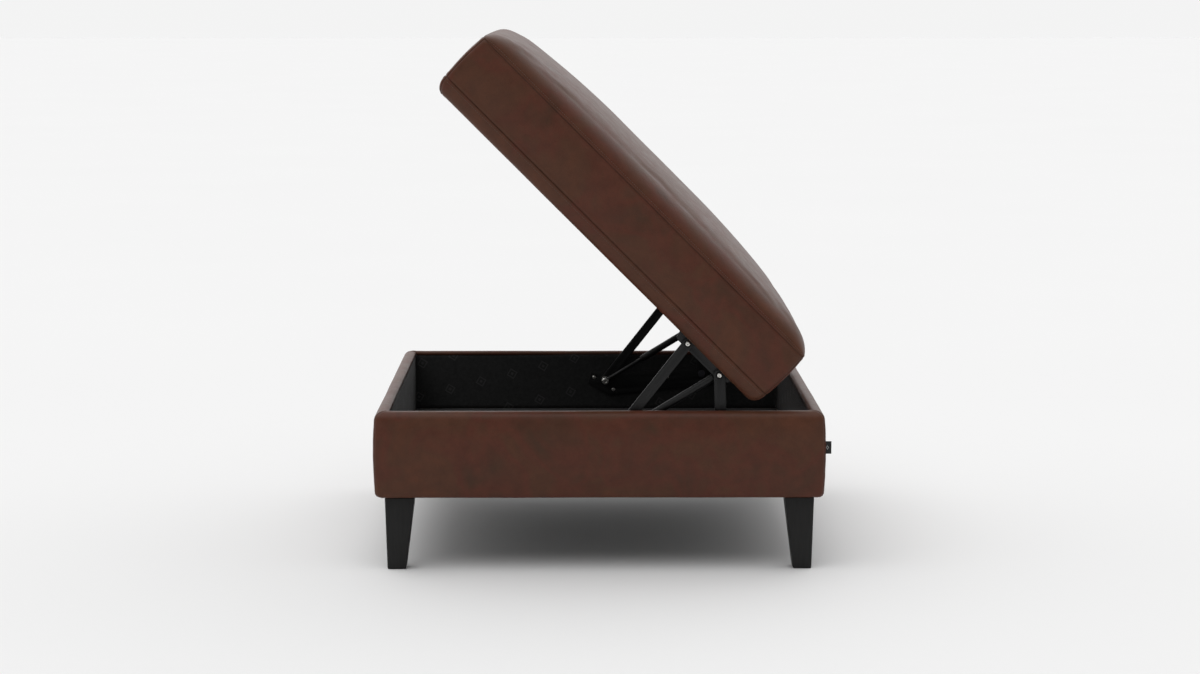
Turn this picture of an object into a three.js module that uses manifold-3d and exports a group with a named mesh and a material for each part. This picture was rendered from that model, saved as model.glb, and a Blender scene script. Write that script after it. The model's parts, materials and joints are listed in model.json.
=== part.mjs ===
// Square storage ottoman: an upholstered base on four tapered legs, and a padded lid that lifts
// and tips back on a four-bar hinge and a tension strut at each side.
// Millimetres, +Z up. The origin is on the floor under the middle of the base.
// -X is the front (the edge that lifts), +X the back, -Y the right side, +Y the left side.
// Everything stands as it does with the lid open.
import * as THREE from 'three';
import { mergeVertices } from 'three/addons/utils/BufferGeometryUtils.js';
import Module from 'manifold-3d';

const wasm = await Module();
wasm.setup();

// ---------- driving dimensions ----------
const GAP = 0.3; // between pieces that touch
const SKIN = 1.5; // leather and lining thickness

// Base
const HALF = 410; // middle of the base to the outside of its leather
const WALL = 27; // whole wall: leather, foam, board and lining
const LEG_HEIGHT = 135;
const RIM = 295; // height of the base's rim
const RIM_RADIUS = 15; // outer edge of the rim
const INNER_RADIUS = 6; // inner edge of the rim
const HEM_RADIUS = 10; // bottom edge of the base
const BOARD = 18; // wall boards
const FLOOR_TOP = 171; // top of the storage floor's panel
const FLOOR_PANEL = 9;
const BLOCK_TOP = 160; // corner blocks that take the leg bolts

// Legs
const LEG_TOP_WIDTH = 54;
const LEG_FOOT_WIDTH = 34;
const LEG_INSET = 18; // leather face to the leg's outer face, at the top
const LEG_OUTER_TAPER = 3.5;

// Lid, in its own frame: u towards the back, v up from the lowest line of its underside
const LID_HALF = 413; // at the fullest line of the side band
const LID_SEAM = 408; // at the two seams of the side band
const ROLL_HEIGHT = 29; // underside to the lower seam
const BAND_HEIGHT = 95; // between the two seams
const CROWN = 56; // middle of the top above the upper seam
const SHOULDER = 60; // how far in the rounded shoulder reaches
const SHOULDER_RISE = 30;
const CROWN_REACH = 300; // the top is level further in than this
const LID_BOARD = 15;
const LID_BOARD_UNDER = 6.3; // the underside of the lid board
const LID_BOARD_HALF = 396;

// Hinge: where the lid rails' two pivots are with the lid open and closed
const LID_OPEN_ANGLE = 45; // degrees
const FRONT_PIVOT_OPEN = new THREE.Vector2(160.4, 414.8); // x, z
const FRONT_PIVOT_U = 243.5; // behind the middle of the lid
const PIVOT_DROP = 7; // pivots below the lid's underside
const PIVOT_SPACING = 82; // front pivot to rear pivot
const CLOSED_OFFSET = -2; // middle of the closed lid from the middle of the base
const FRONT_GROUND_Z = 234.5; // heights of the pivots on the base
const REAR_GROUND_Z = 248;
const FRONT_ARM_WIDTH = 19;
const REAR_ARM_WIDTH = 21;
const PIVOT_R = 4; // rivets on the lid rails
const GROUND_R = 5; // bolts on the base
const RIVET_HEAD_R = 5.9;

// Layers of the hinge, measured inwards from the lining: [nearer the wall, further in]
const PLATE = [0.3, 3.3];
const COLLAR = [2.8, 6.7];
const RIVET_HEAD = [4.4, 6.7];
const ARM = [7, 11];
const RAIL = [11.5, 14.5];
const STRUT_EYE = [20, 28];
const STRUT_MIDDLE = 24;

// Strut, measured along it from its lower eye
const ROD_R = 4;
const TUBE_R = 7;
const STRUT_EYE_R = 7.5;
const ROD_END = 205;
const TUBE_MOUTH = 88;
const BORE_END = 213;

// ---------- worked out from them ----------
const INNER = HALF - WALL; // face of the lining
const BOARD_INNER = INNER + SKIN + GAP;
const BOARD_OUTER = BOARD_INNER + BOARD;
const BOARD_BOTTOM = LEG_HEIGHT + 3;
const BOARD_TOP = RIM - 6;
const UPPER_SEAM = ROLL_HEIGHT + BAND_HEIGHT;
const OPEN = THREE.MathUtils.degToRad(LID_OPEN_ANGLE);
const BACKWARD = new THREE.Vector2(Math.cos(OPEN), -Math.sin(OPEN)); // the open lid's u, in x and z
const UPWARD = new THREE.Vector2(Math.sin(OPEN), Math.cos(OPEN)); // the open lid's v
const REAR_PIVOT_OPEN = FRONT_PIVOT_OPEN.clone().addScaledVector(BACKWARD, PIVOT_SPACING);
const PIVOT_Z_CLOSED = RIM + GAP - PIVOT_DROP;
const FRONT_PIVOT_CLOSED = new THREE.Vector2(FRONT_PIVOT_U + CLOSED_OFFSET, PIVOT_Z_CLOSED);
const REAR_PIVOT_CLOSED = new THREE.Vector2(FRONT_PIVOT_CLOSED.x + PIVOT_SPACING, PIVOT_Z_CLOSED);
const FRONT_GROUND = groundPivot(FRONT_PIVOT_OPEN, FRONT_PIVOT_CLOSED, FRONT_GROUND_Z);
const REAR_GROUND = groundPivot(REAR_PIVOT_OPEN, REAR_PIVOT_CLOSED, REAR_GROUND_Z);
const STRUT_LENGTH = REAR_PIVOT_OPEN.distanceTo(FRONT_GROUND);
const STRUT_ANGLE = REAR_PIVOT_OPEN.clone().sub(FRONT_GROUND).angle();
const LID_ORIGIN = FRONT_PIVOT_OPEN.clone()
  .addScaledVector(BACKWARD, -FRONT_PIVOT_U)
  .addScaledVector(UPWARD, PIVOT_DROP);

// The point at height z that is as far from a pivot's open place as from its closed place.
function groundPivot(open, closed, z) {
  const squares = closed.lengthSq() - open.lengthSq();
  const x = (squares - 2 * z * (closed.y - open.y)) / (2 * (closed.x - open.x));
  return new THREE.Vector2(x, z);
}

// ---------- materials ----------
const material = (color, roughness, metalness = 0) =>
  new THREE.MeshStandardMaterial({ color, roughness, metalness });
const leather = material(0x4a2f27, 0.45);
const lining = material(0x141414, 0.9);
const cambric = material(0x1b1b1b, 0.95);
const foam = material(0xd9d2bd, 0.95);
const timber = material(0xb8956a, 0.7);
const legLacquer = material(0x1d1c1b, 0.45);
const steel = material(0x1a1a1b, 0.5, 0.6);
const zinc = material(0xc9c9c6, 0.3, 0.9);
const plastic = material(0x2a2a30, 0.6);
const label = material(0x121212, 0.8);

// ---------- geometry helpers ----------
const part = new THREE.Group();

function addMesh(parent, name, geometry, finish) {
  const mesh = new THREE.Mesh(geometry, finish);
  mesh.name = name;
  parent.add(mesh);
  return mesh;
}

function boxBetween(low, high) {
  const size = high.map((value, axis) => value - low[axis]);
  const middle = high.map((value, axis) => (value + low[axis]) / 2);
  return new THREE.BoxGeometry(...size).translate(...middle);
}

function toManifold(geometry) {
  const bare = geometry.clone();
  bare.deleteAttribute('normal');
  bare.deleteAttribute('uv');
  bare.clearGroups();
  const merged = mergeVertices(bare, 1e-4);
  return new wasm.Manifold(new wasm.Mesh({
    numProp: 3,
    vertProperties: new Float32Array(merged.attributes.position.array),
    triVerts: new Uint32Array(merged.index.array),
  }));
}

function fromManifold(solid) {
  const { vertProperties, triVerts } = solid.getMesh();
  const geometry = new THREE.BufferGeometry();
  geometry.setAttribute('position', new THREE.BufferAttribute(vertProperties, 3));
  geometry.setIndex(new THREE.BufferAttribute(triVerts, 1));
  geometry.computeVertexNormals();
  return geometry;
}

// Each list's geometries joined, and the second list cut from the first.
function combine(solids, cutters = []) {
  let result = solids.map(toManifold).reduce((all, next) => all.add(next));
  for (const cutter of cutters) result = result.subtract(toManifold(cutter));
  return fromManifold(result);
}

// A cylinder along Y between two values of y.
function cylinderY(radius, yA, yB, x, z, segments = 20) {
  const geometry = new THREE.CylinderGeometry(radius, radius, Math.abs(yB - yA), segments);
  return geometry.translate(x, (yA + yB) / 2, z);
}

// A cylinder along Z between two heights.
function cylinderZ(radius, low, high, x, y, segments = 16) {
  const geometry = new THREE.CylinderGeometry(radius, radius, high - low, segments);
  return geometry.rotateX(Math.PI / 2).translate(x, y, (low + high) / 2);
}

// y of a depth measured inwards from the lining; side is -1 on the right, +1 on the left.
const depthY = (side, depth) => side * (INNER - depth);

// A shape drawn in x and z, as thick as a layer of the hinge.
function layerPlate(shape, side, layer, curveSegments = 10) {
  const thickness = layer[1] - layer[0];
  const settings = { depth: thickness, bevelEnabled: false, curveSegments };
  const geometry = new THREE.ExtrudeGeometry(shape, settings);
  const highY = Math.max(depthY(side, layer[0]), depthY(side, layer[1]));
  return geometry.rotateX(Math.PI / 2).translate(0, highY, 0);
}

const layerCylinder = (radius, side, layer, x, z, segments) =>
  cylinderY(radius, depthY(side, layer[0]), depthY(side, layer[1]), x, z, segments);

// A bar with round ends and a hole at each end.
function barShape(from, to, width, fromHole, toHole) {
  const along = to.clone().sub(from).angle();
  const shape = new THREE.Shape();
  shape.absarc(from.x, from.y, width / 2, along + Math.PI / 2, along + Math.PI * 1.5, false);
  shape.absarc(to.x, to.y, width / 2, along - Math.PI / 2, along + Math.PI / 2, false);
  shape.closePath();
  addHole(shape, from.x, from.y, fromHole);
  addHole(shape, to.x, to.y, toHole);
  return shape;
}

function addHole(shape, x, y, radius) {
  const hole = new THREE.Path();
  hole.absarc(x, y, radius, 0, Math.PI * 2, true);
  shape.holes.push(hole);
}

// A panel on the +X wall: a profile in (outwards, up) drawn along Y, mitred at both ends.
function mitredPanel(shape, curveSegments = 5) {
  const geometry = new THREE.ExtrudeGeometry(shape, { depth: 1, bevelEnabled: false, curveSegments });
  const position = geometry.attributes.position;
  for (let i = 0; i < position.count; i += 1) {
    const outwards = position.getX(i);
    const up = position.getY(i);
    const end = position.getZ(i) > 0.5 ? -1 : 1;
    position.setXYZ(i, outwards, end * (outwards - GAP / 2), up);
  }
  geometry.computeVertexNormals();
  return geometry;
}

const WALLS = { back: 0, left: 90, front: 180, right: 270 }; // degrees about Z from the +X wall

function addOnWalls(parent, prefix, makeGeometry, finish) {
  for (const [wall, degrees] of Object.entries(WALLS)) {
    const mesh = addMesh(parent, `${prefix}_${wall}`, makeGeometry(), finish);
    mesh.rotation.z = THREE.MathUtils.degToRad(degrees);
  }
}

// A closed profile of [half width, height], anticlockwise, carried round a square with round corners.
// A profile that starts and ends on the axis makes a solid; any other makes a ring.
function squareLathe(profile, cornerRadius, cornerSegments = 4) {
  const around = 4 * (cornerSegments + 1);
  const vertices = [];
  const rings = profile.map(([half, height]) => {
    if (half === 0) {
      vertices.push(0, 0, height);
      return Array(around).fill(vertices.length / 3 - 1);
    }
    const corner = Math.min(cornerRadius, half);
    const first = vertices.length / 3;
    for (let i = 0; i < around; i += 1) {
      const quarter = Math.floor(i / (cornerSegments + 1));
      const angle = (quarter + (i % (cornerSegments + 1)) / cornerSegments) * (Math.PI / 2);
      const signX = quarter === 0 || quarter === 3 ? 1 : -1;
      const signY = quarter < 2 ? 1 : -1;
      vertices.push(
        signX * (half - corner) + corner * Math.cos(angle),
        signY * (half - corner) + corner * Math.sin(angle),
        height,
      );
    }
    return Array.from({ length: around }, (_, i) => first + i);
  });
  const triangles = [];
  const strips = profile[0][0] === 0 ? rings.length - 1 : rings.length;
  for (let j = 0; j < strips; j += 1) {
    const lower = rings[j];
    const upper = rings[(j + 1) % rings.length];
    for (let i = 0; i < around; i += 1) {
      const next = (i + 1) % around;
      if (lower[i] !== lower[next]) triangles.push(lower[i], lower[next], upper[next]);
      if (upper[i] !== upper[next]) triangles.push(lower[i], upper[next], upper[i]);
    }
  }
  const geometry = new THREE.BufferGeometry();
  geometry.setAttribute('position', new THREE.Float32BufferAttribute(vertices, 3));
  geometry.setIndex(triangles);
  geometry.computeVertexNormals();
  return geometry;
}

const FOAM_FOOT = 146; // lower end of the wall foam
const BLOCK_INNER = 300; // a corner block reaches in to here
const BLOCK_BORE_R = 5.8;
const CLEAT_HALF = 299;
const BOLT_HEAD_R = 7.4;
const BOLT_HEAD = 3.6;
const COLLAR_R = 9;
const CORNERS = [
  ['front_right', -1, -1],
  ['front_left', -1, 1],
  ['back_right', 1, -1],
  ['back_left', 1, 1],
];
const SIDES = [['right', -1], ['left', 1]];

// ---------- base: legs ----------
const LEG_AXIS = HALF - LEG_INSET - LEG_TOP_WIDTH / 2; // x and y of the leg bolts
const LEG_FOOT_OUTER = HALF - LEG_INSET - LEG_OUTER_TAPER;
const LEG_BOLT_R = 4;
const LEG_BOLT_LOW = 95;

// A square taper for the corner where x and y are both positive.
function legGeometry() {
  const taper = boxBetween([0, 0, 0], [1, 1, LEG_HEIGHT - GAP]);
  const position = taper.attributes.position;
  const topOuter = HALF - LEG_INSET;
  for (let i = 0; i < position.count; i += 1) {
    const atTop = position.getZ(i) > LEG_HEIGHT / 2;
    const outer = atTop ? topOuter : LEG_FOOT_OUTER;
    const width = atTop ? LEG_TOP_WIDTH : LEG_FOOT_WIDTH;
    position.setX(i, outer - width * (1 - position.getX(i)));
    position.setY(i, outer - width * (1 - position.getY(i)));
  }
  const boltHole = cylinderZ(LEG_BOLT_R + GAP, LEG_BOLT_LOW - 2, LEG_HEIGHT + 1, LEG_AXIS, LEG_AXIS);
  return combine([taper], [boltHole]);
}

function cornerPlaced(geometry, signX, signY) {
  const quarterTurns = { '1,1': 0, '-1,1': 1, '-1,-1': 2, '1,-1': 3 }[`${signX},${signY}`];
  return geometry.rotateZ(quarterTurns * Math.PI / 2);
}

function addLegs() {
  for (const [name, signX, signY] of CORNERS) {
    addMesh(part, `leg_${name}`, cornerPlaced(legGeometry(), signX, signY), legLacquer);
    const bolt = cylinderZ(LEG_BOLT_R, LEG_BOLT_LOW, BLOCK_TOP, signX * LEG_AXIS, signY * LEG_AXIS);
    addMesh(part, `leg_bolt_${name}`, bolt, zinc);
  }
}

// ---------- base: box ----------
const COVER_FACE = HALF - SKIN; // inside of the leather
const HEM_END = 370; // where the leather ends under the base
const LINING_TOP = RIM - 6.7;
const FLOOR_LINING_TOP = FLOOR_TOP + GAP + 1;

function coverShape() {
  const rimCentre = RIM - RIM_RADIUS;
  const hemCentre = LEG_HEIGHT + HEM_RADIUS;
  const innerCentre = RIM - INNER_RADIUS;
  const shape = new THREE.Shape();
  shape.moveTo(HEM_END, LEG_HEIGHT);
  shape.absarc(HALF - HEM_RADIUS, hemCentre, HEM_RADIUS, -Math.PI / 2, 0, false);
  shape.absarc(HALF - RIM_RADIUS, rimCentre, RIM_RADIUS, 0, Math.PI / 2, false);
  shape.absarc(INNER + INNER_RADIUS, innerCentre, INNER_RADIUS, Math.PI / 2, Math.PI, false);
  shape.lineTo(INNER, LINING_TOP + GAP);
  shape.lineTo(INNER + SKIN, LINING_TOP + GAP);
  shape.absarc(INNER + INNER_RADIUS, innerCentre, INNER_RADIUS - SKIN, Math.PI, Math.PI / 2, true);
  shape.absarc(HALF - RIM_RADIUS, rimCentre, RIM_RADIUS - SKIN, Math.PI / 2, 0, true);
  shape.absarc(HALF - HEM_RADIUS, hemCentre, HEM_RADIUS - SKIN, 0, -Math.PI / 2, true);
  shape.lineTo(HEM_END, LEG_HEIGHT + SKIN);
  return shape;
}

// Foam over the outer faces and the top edges of the wall boards, in one band all round.
function wallFoamGeometry() {
  const outer = COVER_FACE - GAP;
  const top = RIM - SKIN - GAP;
  const inner = INNER + INNER_RADIUS + 1;
  const foot = FOAM_FOOT;
  const rimRadius = RIM_RADIUS - SKIN - GAP;
  const rimArc = [0, 0.25, 0.5, 0.75, 1].map((share) => {
    const angle = (share * Math.PI) / 2;
    return [outer - rimRadius * (1 - Math.cos(angle)), top - rimRadius * (1 - Math.sin(angle))];
  });
  const profile = [
    [BOARD_OUTER + GAP, foot], [outer, foot], ...rimArc,
    [inner, top], [inner, BOARD_TOP + GAP], [BOARD_OUTER + GAP, BOARD_TOP + GAP],
  ];
  return squareLathe(profile, 0.5, 1);
}

function addWallBoards() {
  const between = BOARD_INNER - GAP;
  for (const [name, sign] of [['front', -1], ['back', 1]]) {
    const low = sign < 0 ? -BOARD_OUTER : BOARD_INNER;
    const board = boxBetween([low, -BOARD_OUTER, BOARD_BOTTOM], [low + BOARD, BOARD_OUTER, BOARD_TOP]);
    addMesh(part, `wall_board_${name}`, board, timber);
  }
  for (const [name, sign] of SIDES) {
    const low = sign < 0 ? -BOARD_OUTER : BOARD_INNER;
    const board = boxBetween([-between, low, BOARD_BOTTOM], [between, low + BOARD, BOARD_TOP]);
    addMesh(part, `wall_board_${name}`, board, timber);
  }
}

function addCornerBlocks() {
  const outer = BOARD_INNER - GAP;
  const inner = BLOCK_INNER;
  const chamfer = 40;
  for (const [name, signX, signY] of CORNERS) {
    const shape = new THREE.Shape();
    shape.moveTo(outer, outer);
    shape.lineTo(inner, outer);
    shape.lineTo(inner, inner + chamfer);
    shape.lineTo(inner + chamfer, inner);
    shape.lineTo(outer, inner);
    addHole(shape, LEG_AXIS, LEG_AXIS, BLOCK_BORE_R);
    const low = LEG_HEIGHT + 2;
    const settings = { depth: BLOCK_TOP - low, bevelEnabled: false, curveSegments: 8 };
    const block = new THREE.ExtrudeGeometry(shape, settings).translate(0, 0, low);
    addMesh(part, `corner_block_${name}`, cornerPlaced(block, signX, signY), timber);
  }
}

function addFloor() {
  const outer = BOARD_INNER - GAP;
  const cleatTop = FLOOR_TOP - FLOOR_PANEL - GAP;
  for (const [name, sign] of [['front', -1], ['back', 1]]) {
    const low = sign < 0 ? -outer : outer - BOARD;
    const cleat = boxBetween([low, -CLEAT_HALF, LEG_HEIGHT + 2], [low + BOARD, CLEAT_HALF, cleatTop]);
    addMesh(part, `floor_cleat_${name}`, cleat, timber);
  }
  const panel = boxBetween([-outer, -outer, FLOOR_TOP - FLOOR_PANEL], [outer, outer, FLOOR_TOP]);
  addMesh(part, 'floor_panel', panel, timber);
  const cloth = INNER - GAP;
  const floorLining = boxBetween([-cloth, -cloth, FLOOR_TOP + GAP], [cloth, cloth, FLOOR_LINING_TOP]);
  addMesh(part, 'lining_floor', floorLining, lining);
  const outerLining = INNER + SKIN;
  const sleeveLow = [-outerLining, -outerLining, FLOOR_TOP + GAP];
  const sleeve = boxBetween(sleeveLow, [outerLining, outerLining, LINING_TOP]);
  const wallLining = combine([sleeve], [boxBetween([-INNER, -INNER, FLOOR_TOP - 1], [INNER, INNER, RIM])]);
  addMesh(part, 'lining_walls', wallLining, lining);
}

function addBottomCover() {
  const half = HEM_END - GAP;
  const shape = new THREE.Shape();
  shape.moveTo(-half, -half);
  shape.lineTo(half, -half);
  shape.lineTo(half, half);
  shape.lineTo(-half, half);
  for (const [, signX, signY] of CORNERS) {
    addHole(shape, signX * LEG_AXIS, signY * LEG_AXIS, LEG_BOLT_R + 0.5);
  }
  const settings = { depth: 1, bevelEnabled: false, curveSegments: 6 };
  const cover = new THREE.ExtrudeGeometry(shape, settings).translate(0, 0, LEG_HEIGHT);
  addMesh(part, 'bottom_dust_cover', cover, cambric);
}

function addLabelTab() {
  const tab = boxBetween([HALF + GAP, -403.2, 216.5], [HALF + 11, -401.8, 239.5]);
  addMesh(part, 'label_tab', tab, label);
}

// ---------- hinge pieces on the base ----------
const PLATE_SCREWS = [[-5, 239], [36, 213], [150, 240], [262, 240]]; // x and z of the screw holes
const PLATE_SCREW_HOLE = 2.8;

function addHingePlates() {
  const shape = new THREE.Shape();
  shape.moveTo(-18, 226);
  shape.lineTo(26, 200);
  shape.lineTo(272, 226);
  shape.lineTo(276, 250);
  shape.lineTo(266, 262);
  shape.lineTo(208, 266);
  shape.lineTo(150, 252);
  shape.lineTo(30, 252);
  shape.lineTo(-12, 252);
  for (const [x, z] of PLATE_SCREWS) addHole(shape, x, z, PLATE_SCREW_HOLE);
  for (const [name, side] of SIDES) {
    const collars = [FRONT_GROUND, REAR_GROUND].map((pivot) => (
      layerCylinder(COLLAR_R, side, COLLAR, pivot.x, pivot.y)));
    const bores = [FRONT_GROUND, REAR_GROUND].map((pivot) =>
      layerCylinder(GROUND_R + GAP, side, [-1, 8], pivot.x, pivot.y));
    const plate = combine([layerPlate(shape, side, PLATE), ...collars], bores);
    addMesh(part, `hinge_plate_${name}`, plate, steel);
    const spacer = [ARM[1] + GAP, STRUT_EYE[0] - GAP];
    addGroundBolt(`front_arm_bolt_${name}`, side, FRONT_GROUND, STRUT_EYE[1], spacer);
    addGroundBolt(`rear_arm_bolt_${name}`, side, REAR_GROUND, ARM[1], null);
  }
}

// A bolt from the hinge plate inwards, with its head just past a depth and, on the long one, a
// spacing collar between the arm and the strut.
function addGroundBolt(name, side, pivot, depth, spacer) {
  const solids = [
    layerCylinder(GROUND_R, side, [PLATE[0] + GAP, depth + 1], pivot.x, pivot.y),
    layerCylinder(BOLT_HEAD_R, side, [depth + GAP, depth + BOLT_HEAD], pivot.x, pivot.y),
  ];
  if (spacer) solids.push(layerCylinder(8, side, spacer, pivot.x, pivot.y));
  addMesh(part, name, combine(solids), spacer ? zinc : plastic);
}

// ---------- arms ----------
// A rivet with its head on the wall side and its shank reaching in to a depth.
function rivet(side, x, z, shankEnd) {
  const head = layerCylinder(RIVET_HEAD_R, side, RIVET_HEAD, x, z, 24);
  const shank = layerCylinder(PIVOT_R, side, [RIVET_HEAD[0] + 1, shankEnd], x, z, 16);
  return combine([head, shank]);
}

function addArms() {
  const hole = PIVOT_R + GAP;
  const groundHole = GROUND_R + GAP;
  for (const [name, side] of SIDES) {
    const front = barShape(FRONT_GROUND, FRONT_PIVOT_OPEN, FRONT_ARM_WIDTH, groundHole, hole);
    addMesh(part, `front_arm_${name}`, layerPlate(front, side, ARM), steel);
    const rear = barShape(REAR_GROUND, REAR_PIVOT_OPEN, REAR_ARM_WIDTH, groundHole, hole);
    addMesh(part, `rear_arm_${name}`, layerPlate(rear, side, ARM), steel);
    const frontRivet = rivet(side, FRONT_PIVOT_OPEN.x, FRONT_PIVOT_OPEN.y, ARM[1] - 0.1);
    addMesh(part, `front_arm_rivet_${name}`, frontRivet, zinc);
  }
}

// ---------- struts ----------
// Drawn along +X from the lower eye, then turned and moved onto the bolt of the front arm.
function addStruts() {
  for (const [name, side] of SIDES) {
    const strut = new THREE.Group();
    strut.position.set(FRONT_GROUND.x, 0, FRONT_GROUND.y);
    strut.rotation.y = -STRUT_ANGLE;
    part.add(strut);
    const middle = depthY(side, STRUT_MIDDLE);
    const alongX = (radius, from, to, segments) => new THREE
      .CylinderGeometry(radius, radius, to - from, segments)
      .rotateZ(Math.PI / 2).translate((from + to) / 2, middle, 0);
    const rod = combine(
      [layerCylinder(STRUT_EYE_R, side, STRUT_EYE, 0, 0), alongX(ROD_R, 6.5, ROD_END, 16)],
      [layerCylinder(GROUND_R + GAP, side, [STRUT_EYE[0] - 1, STRUT_EYE[1] + 1], 0, 0)],
    );
    addMesh(strut, `strut_rod_${name}`, rod, steel);
    const tubeEnd = STRUT_LENGTH - STRUT_EYE_R + 1;
    const tube = combine(
      [
        alongX(TUBE_R, TUBE_MOUTH, tubeEnd - 4, 24),
        alongX(4, tubeEnd - 6, tubeEnd, 16),
        layerCylinder(STRUT_EYE_R, side, STRUT_EYE, STRUT_LENGTH, 0),
      ],
      [
        alongX(ROD_R + GAP, TUBE_MOUTH - 1, BORE_END, 16),
        layerCylinder(PIVOT_R + GAP, side, [STRUT_EYE[0] - 1, STRUT_EYE[1] + 1], STRUT_LENGTH, 0),
      ],
    );
    addMesh(strut, `strut_tube_${name}`, tube, steel);
    const { x, y: z } = REAR_PIVOT_OPEN;
    const strutPin = combine([
      layerCylinder(6, side, [RAIL[1] + 0.5, STRUT_EYE[0] - GAP], x, z),
      layerCylinder(PIVOT_R, side, [RAIL[1] + 1, STRUT_EYE[1] + 1], x, z, 16),
      layerCylinder(6, side, [STRUT_EYE[1] + GAP, STRUT_EYE[1] + 2.6], x, z),
    ]);
    addMesh(part, `strut_pin_${name}`, strutPin, zinc);
  }
}

// ---------- lid ----------
const lid = new THREE.Group(); // its X is u, its Z is v
lid.position.set(LID_ORIGIN.x, 0, LID_ORIGIN.y);
lid.rotation.y = OPEN;
part.add(lid);

const COVER_INSIDE = SKIN + GAP; // outer face of the cover to the padding
const CORNER_ROUND = 14;

// Height of the crowned top above the upper seam, at a distance in from the seam.
function crownHeight(inset) {
  const share = Math.min(inset / SHOULDER, 1);
  const shoulder = SHOULDER_RISE * Math.sqrt(1 - (1 - share) ** 2);
  const across = Math.min(inset / CROWN_REACH, 1);
  return shoulder + (CROWN - SHOULDER_RISE) * Math.sin((across * Math.PI) / 2);
}

const CROWN_INSETS = [0, 2, 8, 18, 34, SHOULDER, 110, 190, CROWN_REACH];

// The crowned surface as [half width, height], from the seam to the middle, lowered by a thickness.
function crownProfile(thickness) {
  const edge = CROWN_INSETS.map((inset) => [
    LID_SEAM - thickness - inset * (1 - thickness / LID_SEAM),
    UPPER_SEAM + crownHeight(inset) - thickness * Math.min(inset / 34, 1),
  ]);
  return [...edge, [0, UPPER_SEAM + CROWN - thickness]];
}

function addLidFrame() {
  const half = LID_BOARD_HALF;
  const top = LID_BOARD_UNDER + LID_BOARD;
  const board = [[0, LID_BOARD_UNDER], [half, LID_BOARD_UNDER], [half, top], [0, top]];
  addMesh(lid, 'lid_board', squareLathe(board, CORNER_ROUND), timber);
  const clothHalf = 379.5;
  const clothTop = LID_BOARD_UNDER - GAP;
  const cloth = [[0, clothTop - 1], [clothHalf, clothTop - 1], [clothHalf, clothTop], [0, clothTop]];
  addMesh(lid, 'lid_dust_cover', squareLathe(cloth, CORNER_ROUND), cambric);
}

function addLidPadding() {
  const low = LID_BOARD_UNDER + LID_BOARD + GAP;
  const bandInner = LID_HALF - COVER_INSIDE;
  const seamInner = LID_SEAM - COVER_INSIDE;
  const crown = crownProfile(COVER_INSIDE + GAP);
  const block = [
    [0, low], [seamInner - 2, low], [seamInner, ROLL_HEIGHT], [bandInner, ROLL_HEIGHT + BAND_HEIGHT / 2],
    [seamInner, UPPER_SEAM], ...crown,
  ];
  addMesh(lid, 'lid_foam', squareLathe(block, CORNER_ROUND), foam);
  const roll = [
    [383.5, 2], [392, 2], [400, 6], [405, 14], [405.5, low - 2 * GAP],
    [LID_BOARD_HALF + GAP, low - 2 * GAP],
    [LID_BOARD_HALF + GAP, LID_BOARD_UNDER - GAP],
    [383.5, LID_BOARD_UNDER - GAP],
  ];
  addMesh(lid, 'lid_edge_roll', squareLathe(roll, CORNER_ROUND), foam);
}

function bandShape() {
  const low = ROLL_HEIGHT + GAP;
  const high = UPPER_SEAM - GAP;
  const bulge = LID_HALF - LID_SEAM;
  const shape = new THREE.Shape();
  shape.moveTo(LID_SEAM, low);
  shape.quadraticCurveTo(LID_SEAM + 2 * bulge, (low + high) / 2, LID_SEAM, high);
  shape.lineTo(LID_SEAM - SKIN, high);
  shape.quadraticCurveTo(LID_SEAM + 2 * bulge - SKIN, (low + high) / 2, LID_SEAM - SKIN, low);
  return shape;
}

function addLidCover() {
  const outer = crownProfile(0);
  const inner = crownProfile(SKIN).reverse();
  const top = [...outer, ...inner];
  addMesh(lid, 'lid_top_panel', squareLathe(top, CORNER_ROUND), leather);
  addOnWalls(lid, 'lid_side_band', () => mitredPanel(bandShape(), 6), leather);
  const under = [
    [380, 0.8], [384, 0], [393, 0], [402, 4.5], [406.5, 13], [LID_SEAM, ROLL_HEIGHT],
    [LID_SEAM - SKIN, ROLL_HEIGHT], [405, 13.6], [401, 5.7], [392.6, SKIN], [384, SKIN], [380, 2.3],
  ];
  addMesh(lid, 'lid_under_band', squareLathe(under, CORNER_ROUND), leather);
}

// Lid rails: steel angles screwed under the board, drawn in the lid's frame.
const RAIL_FRONT = FRONT_PIVOT_U - 28;
const RAIL_BACK = FRONT_PIVOT_U + PIVOT_SPACING + 22;
const RAIL_TOP = LID_BOARD_UNDER - 1.6;
const RAIL_BOTTOM = -PIVOT_DROP - 8.5;
const RAIL_SCREWS = [RAIL_FRONT + 12, (RAIL_FRONT + RAIL_BACK) / 2, RAIL_BACK - 12];
const RAIL_SCREW_DEPTH = 33; // inwards from the lining
const RAIL_SCREW_HOLE = 2.8;
const RAIL_FLANGE = 3;

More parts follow.
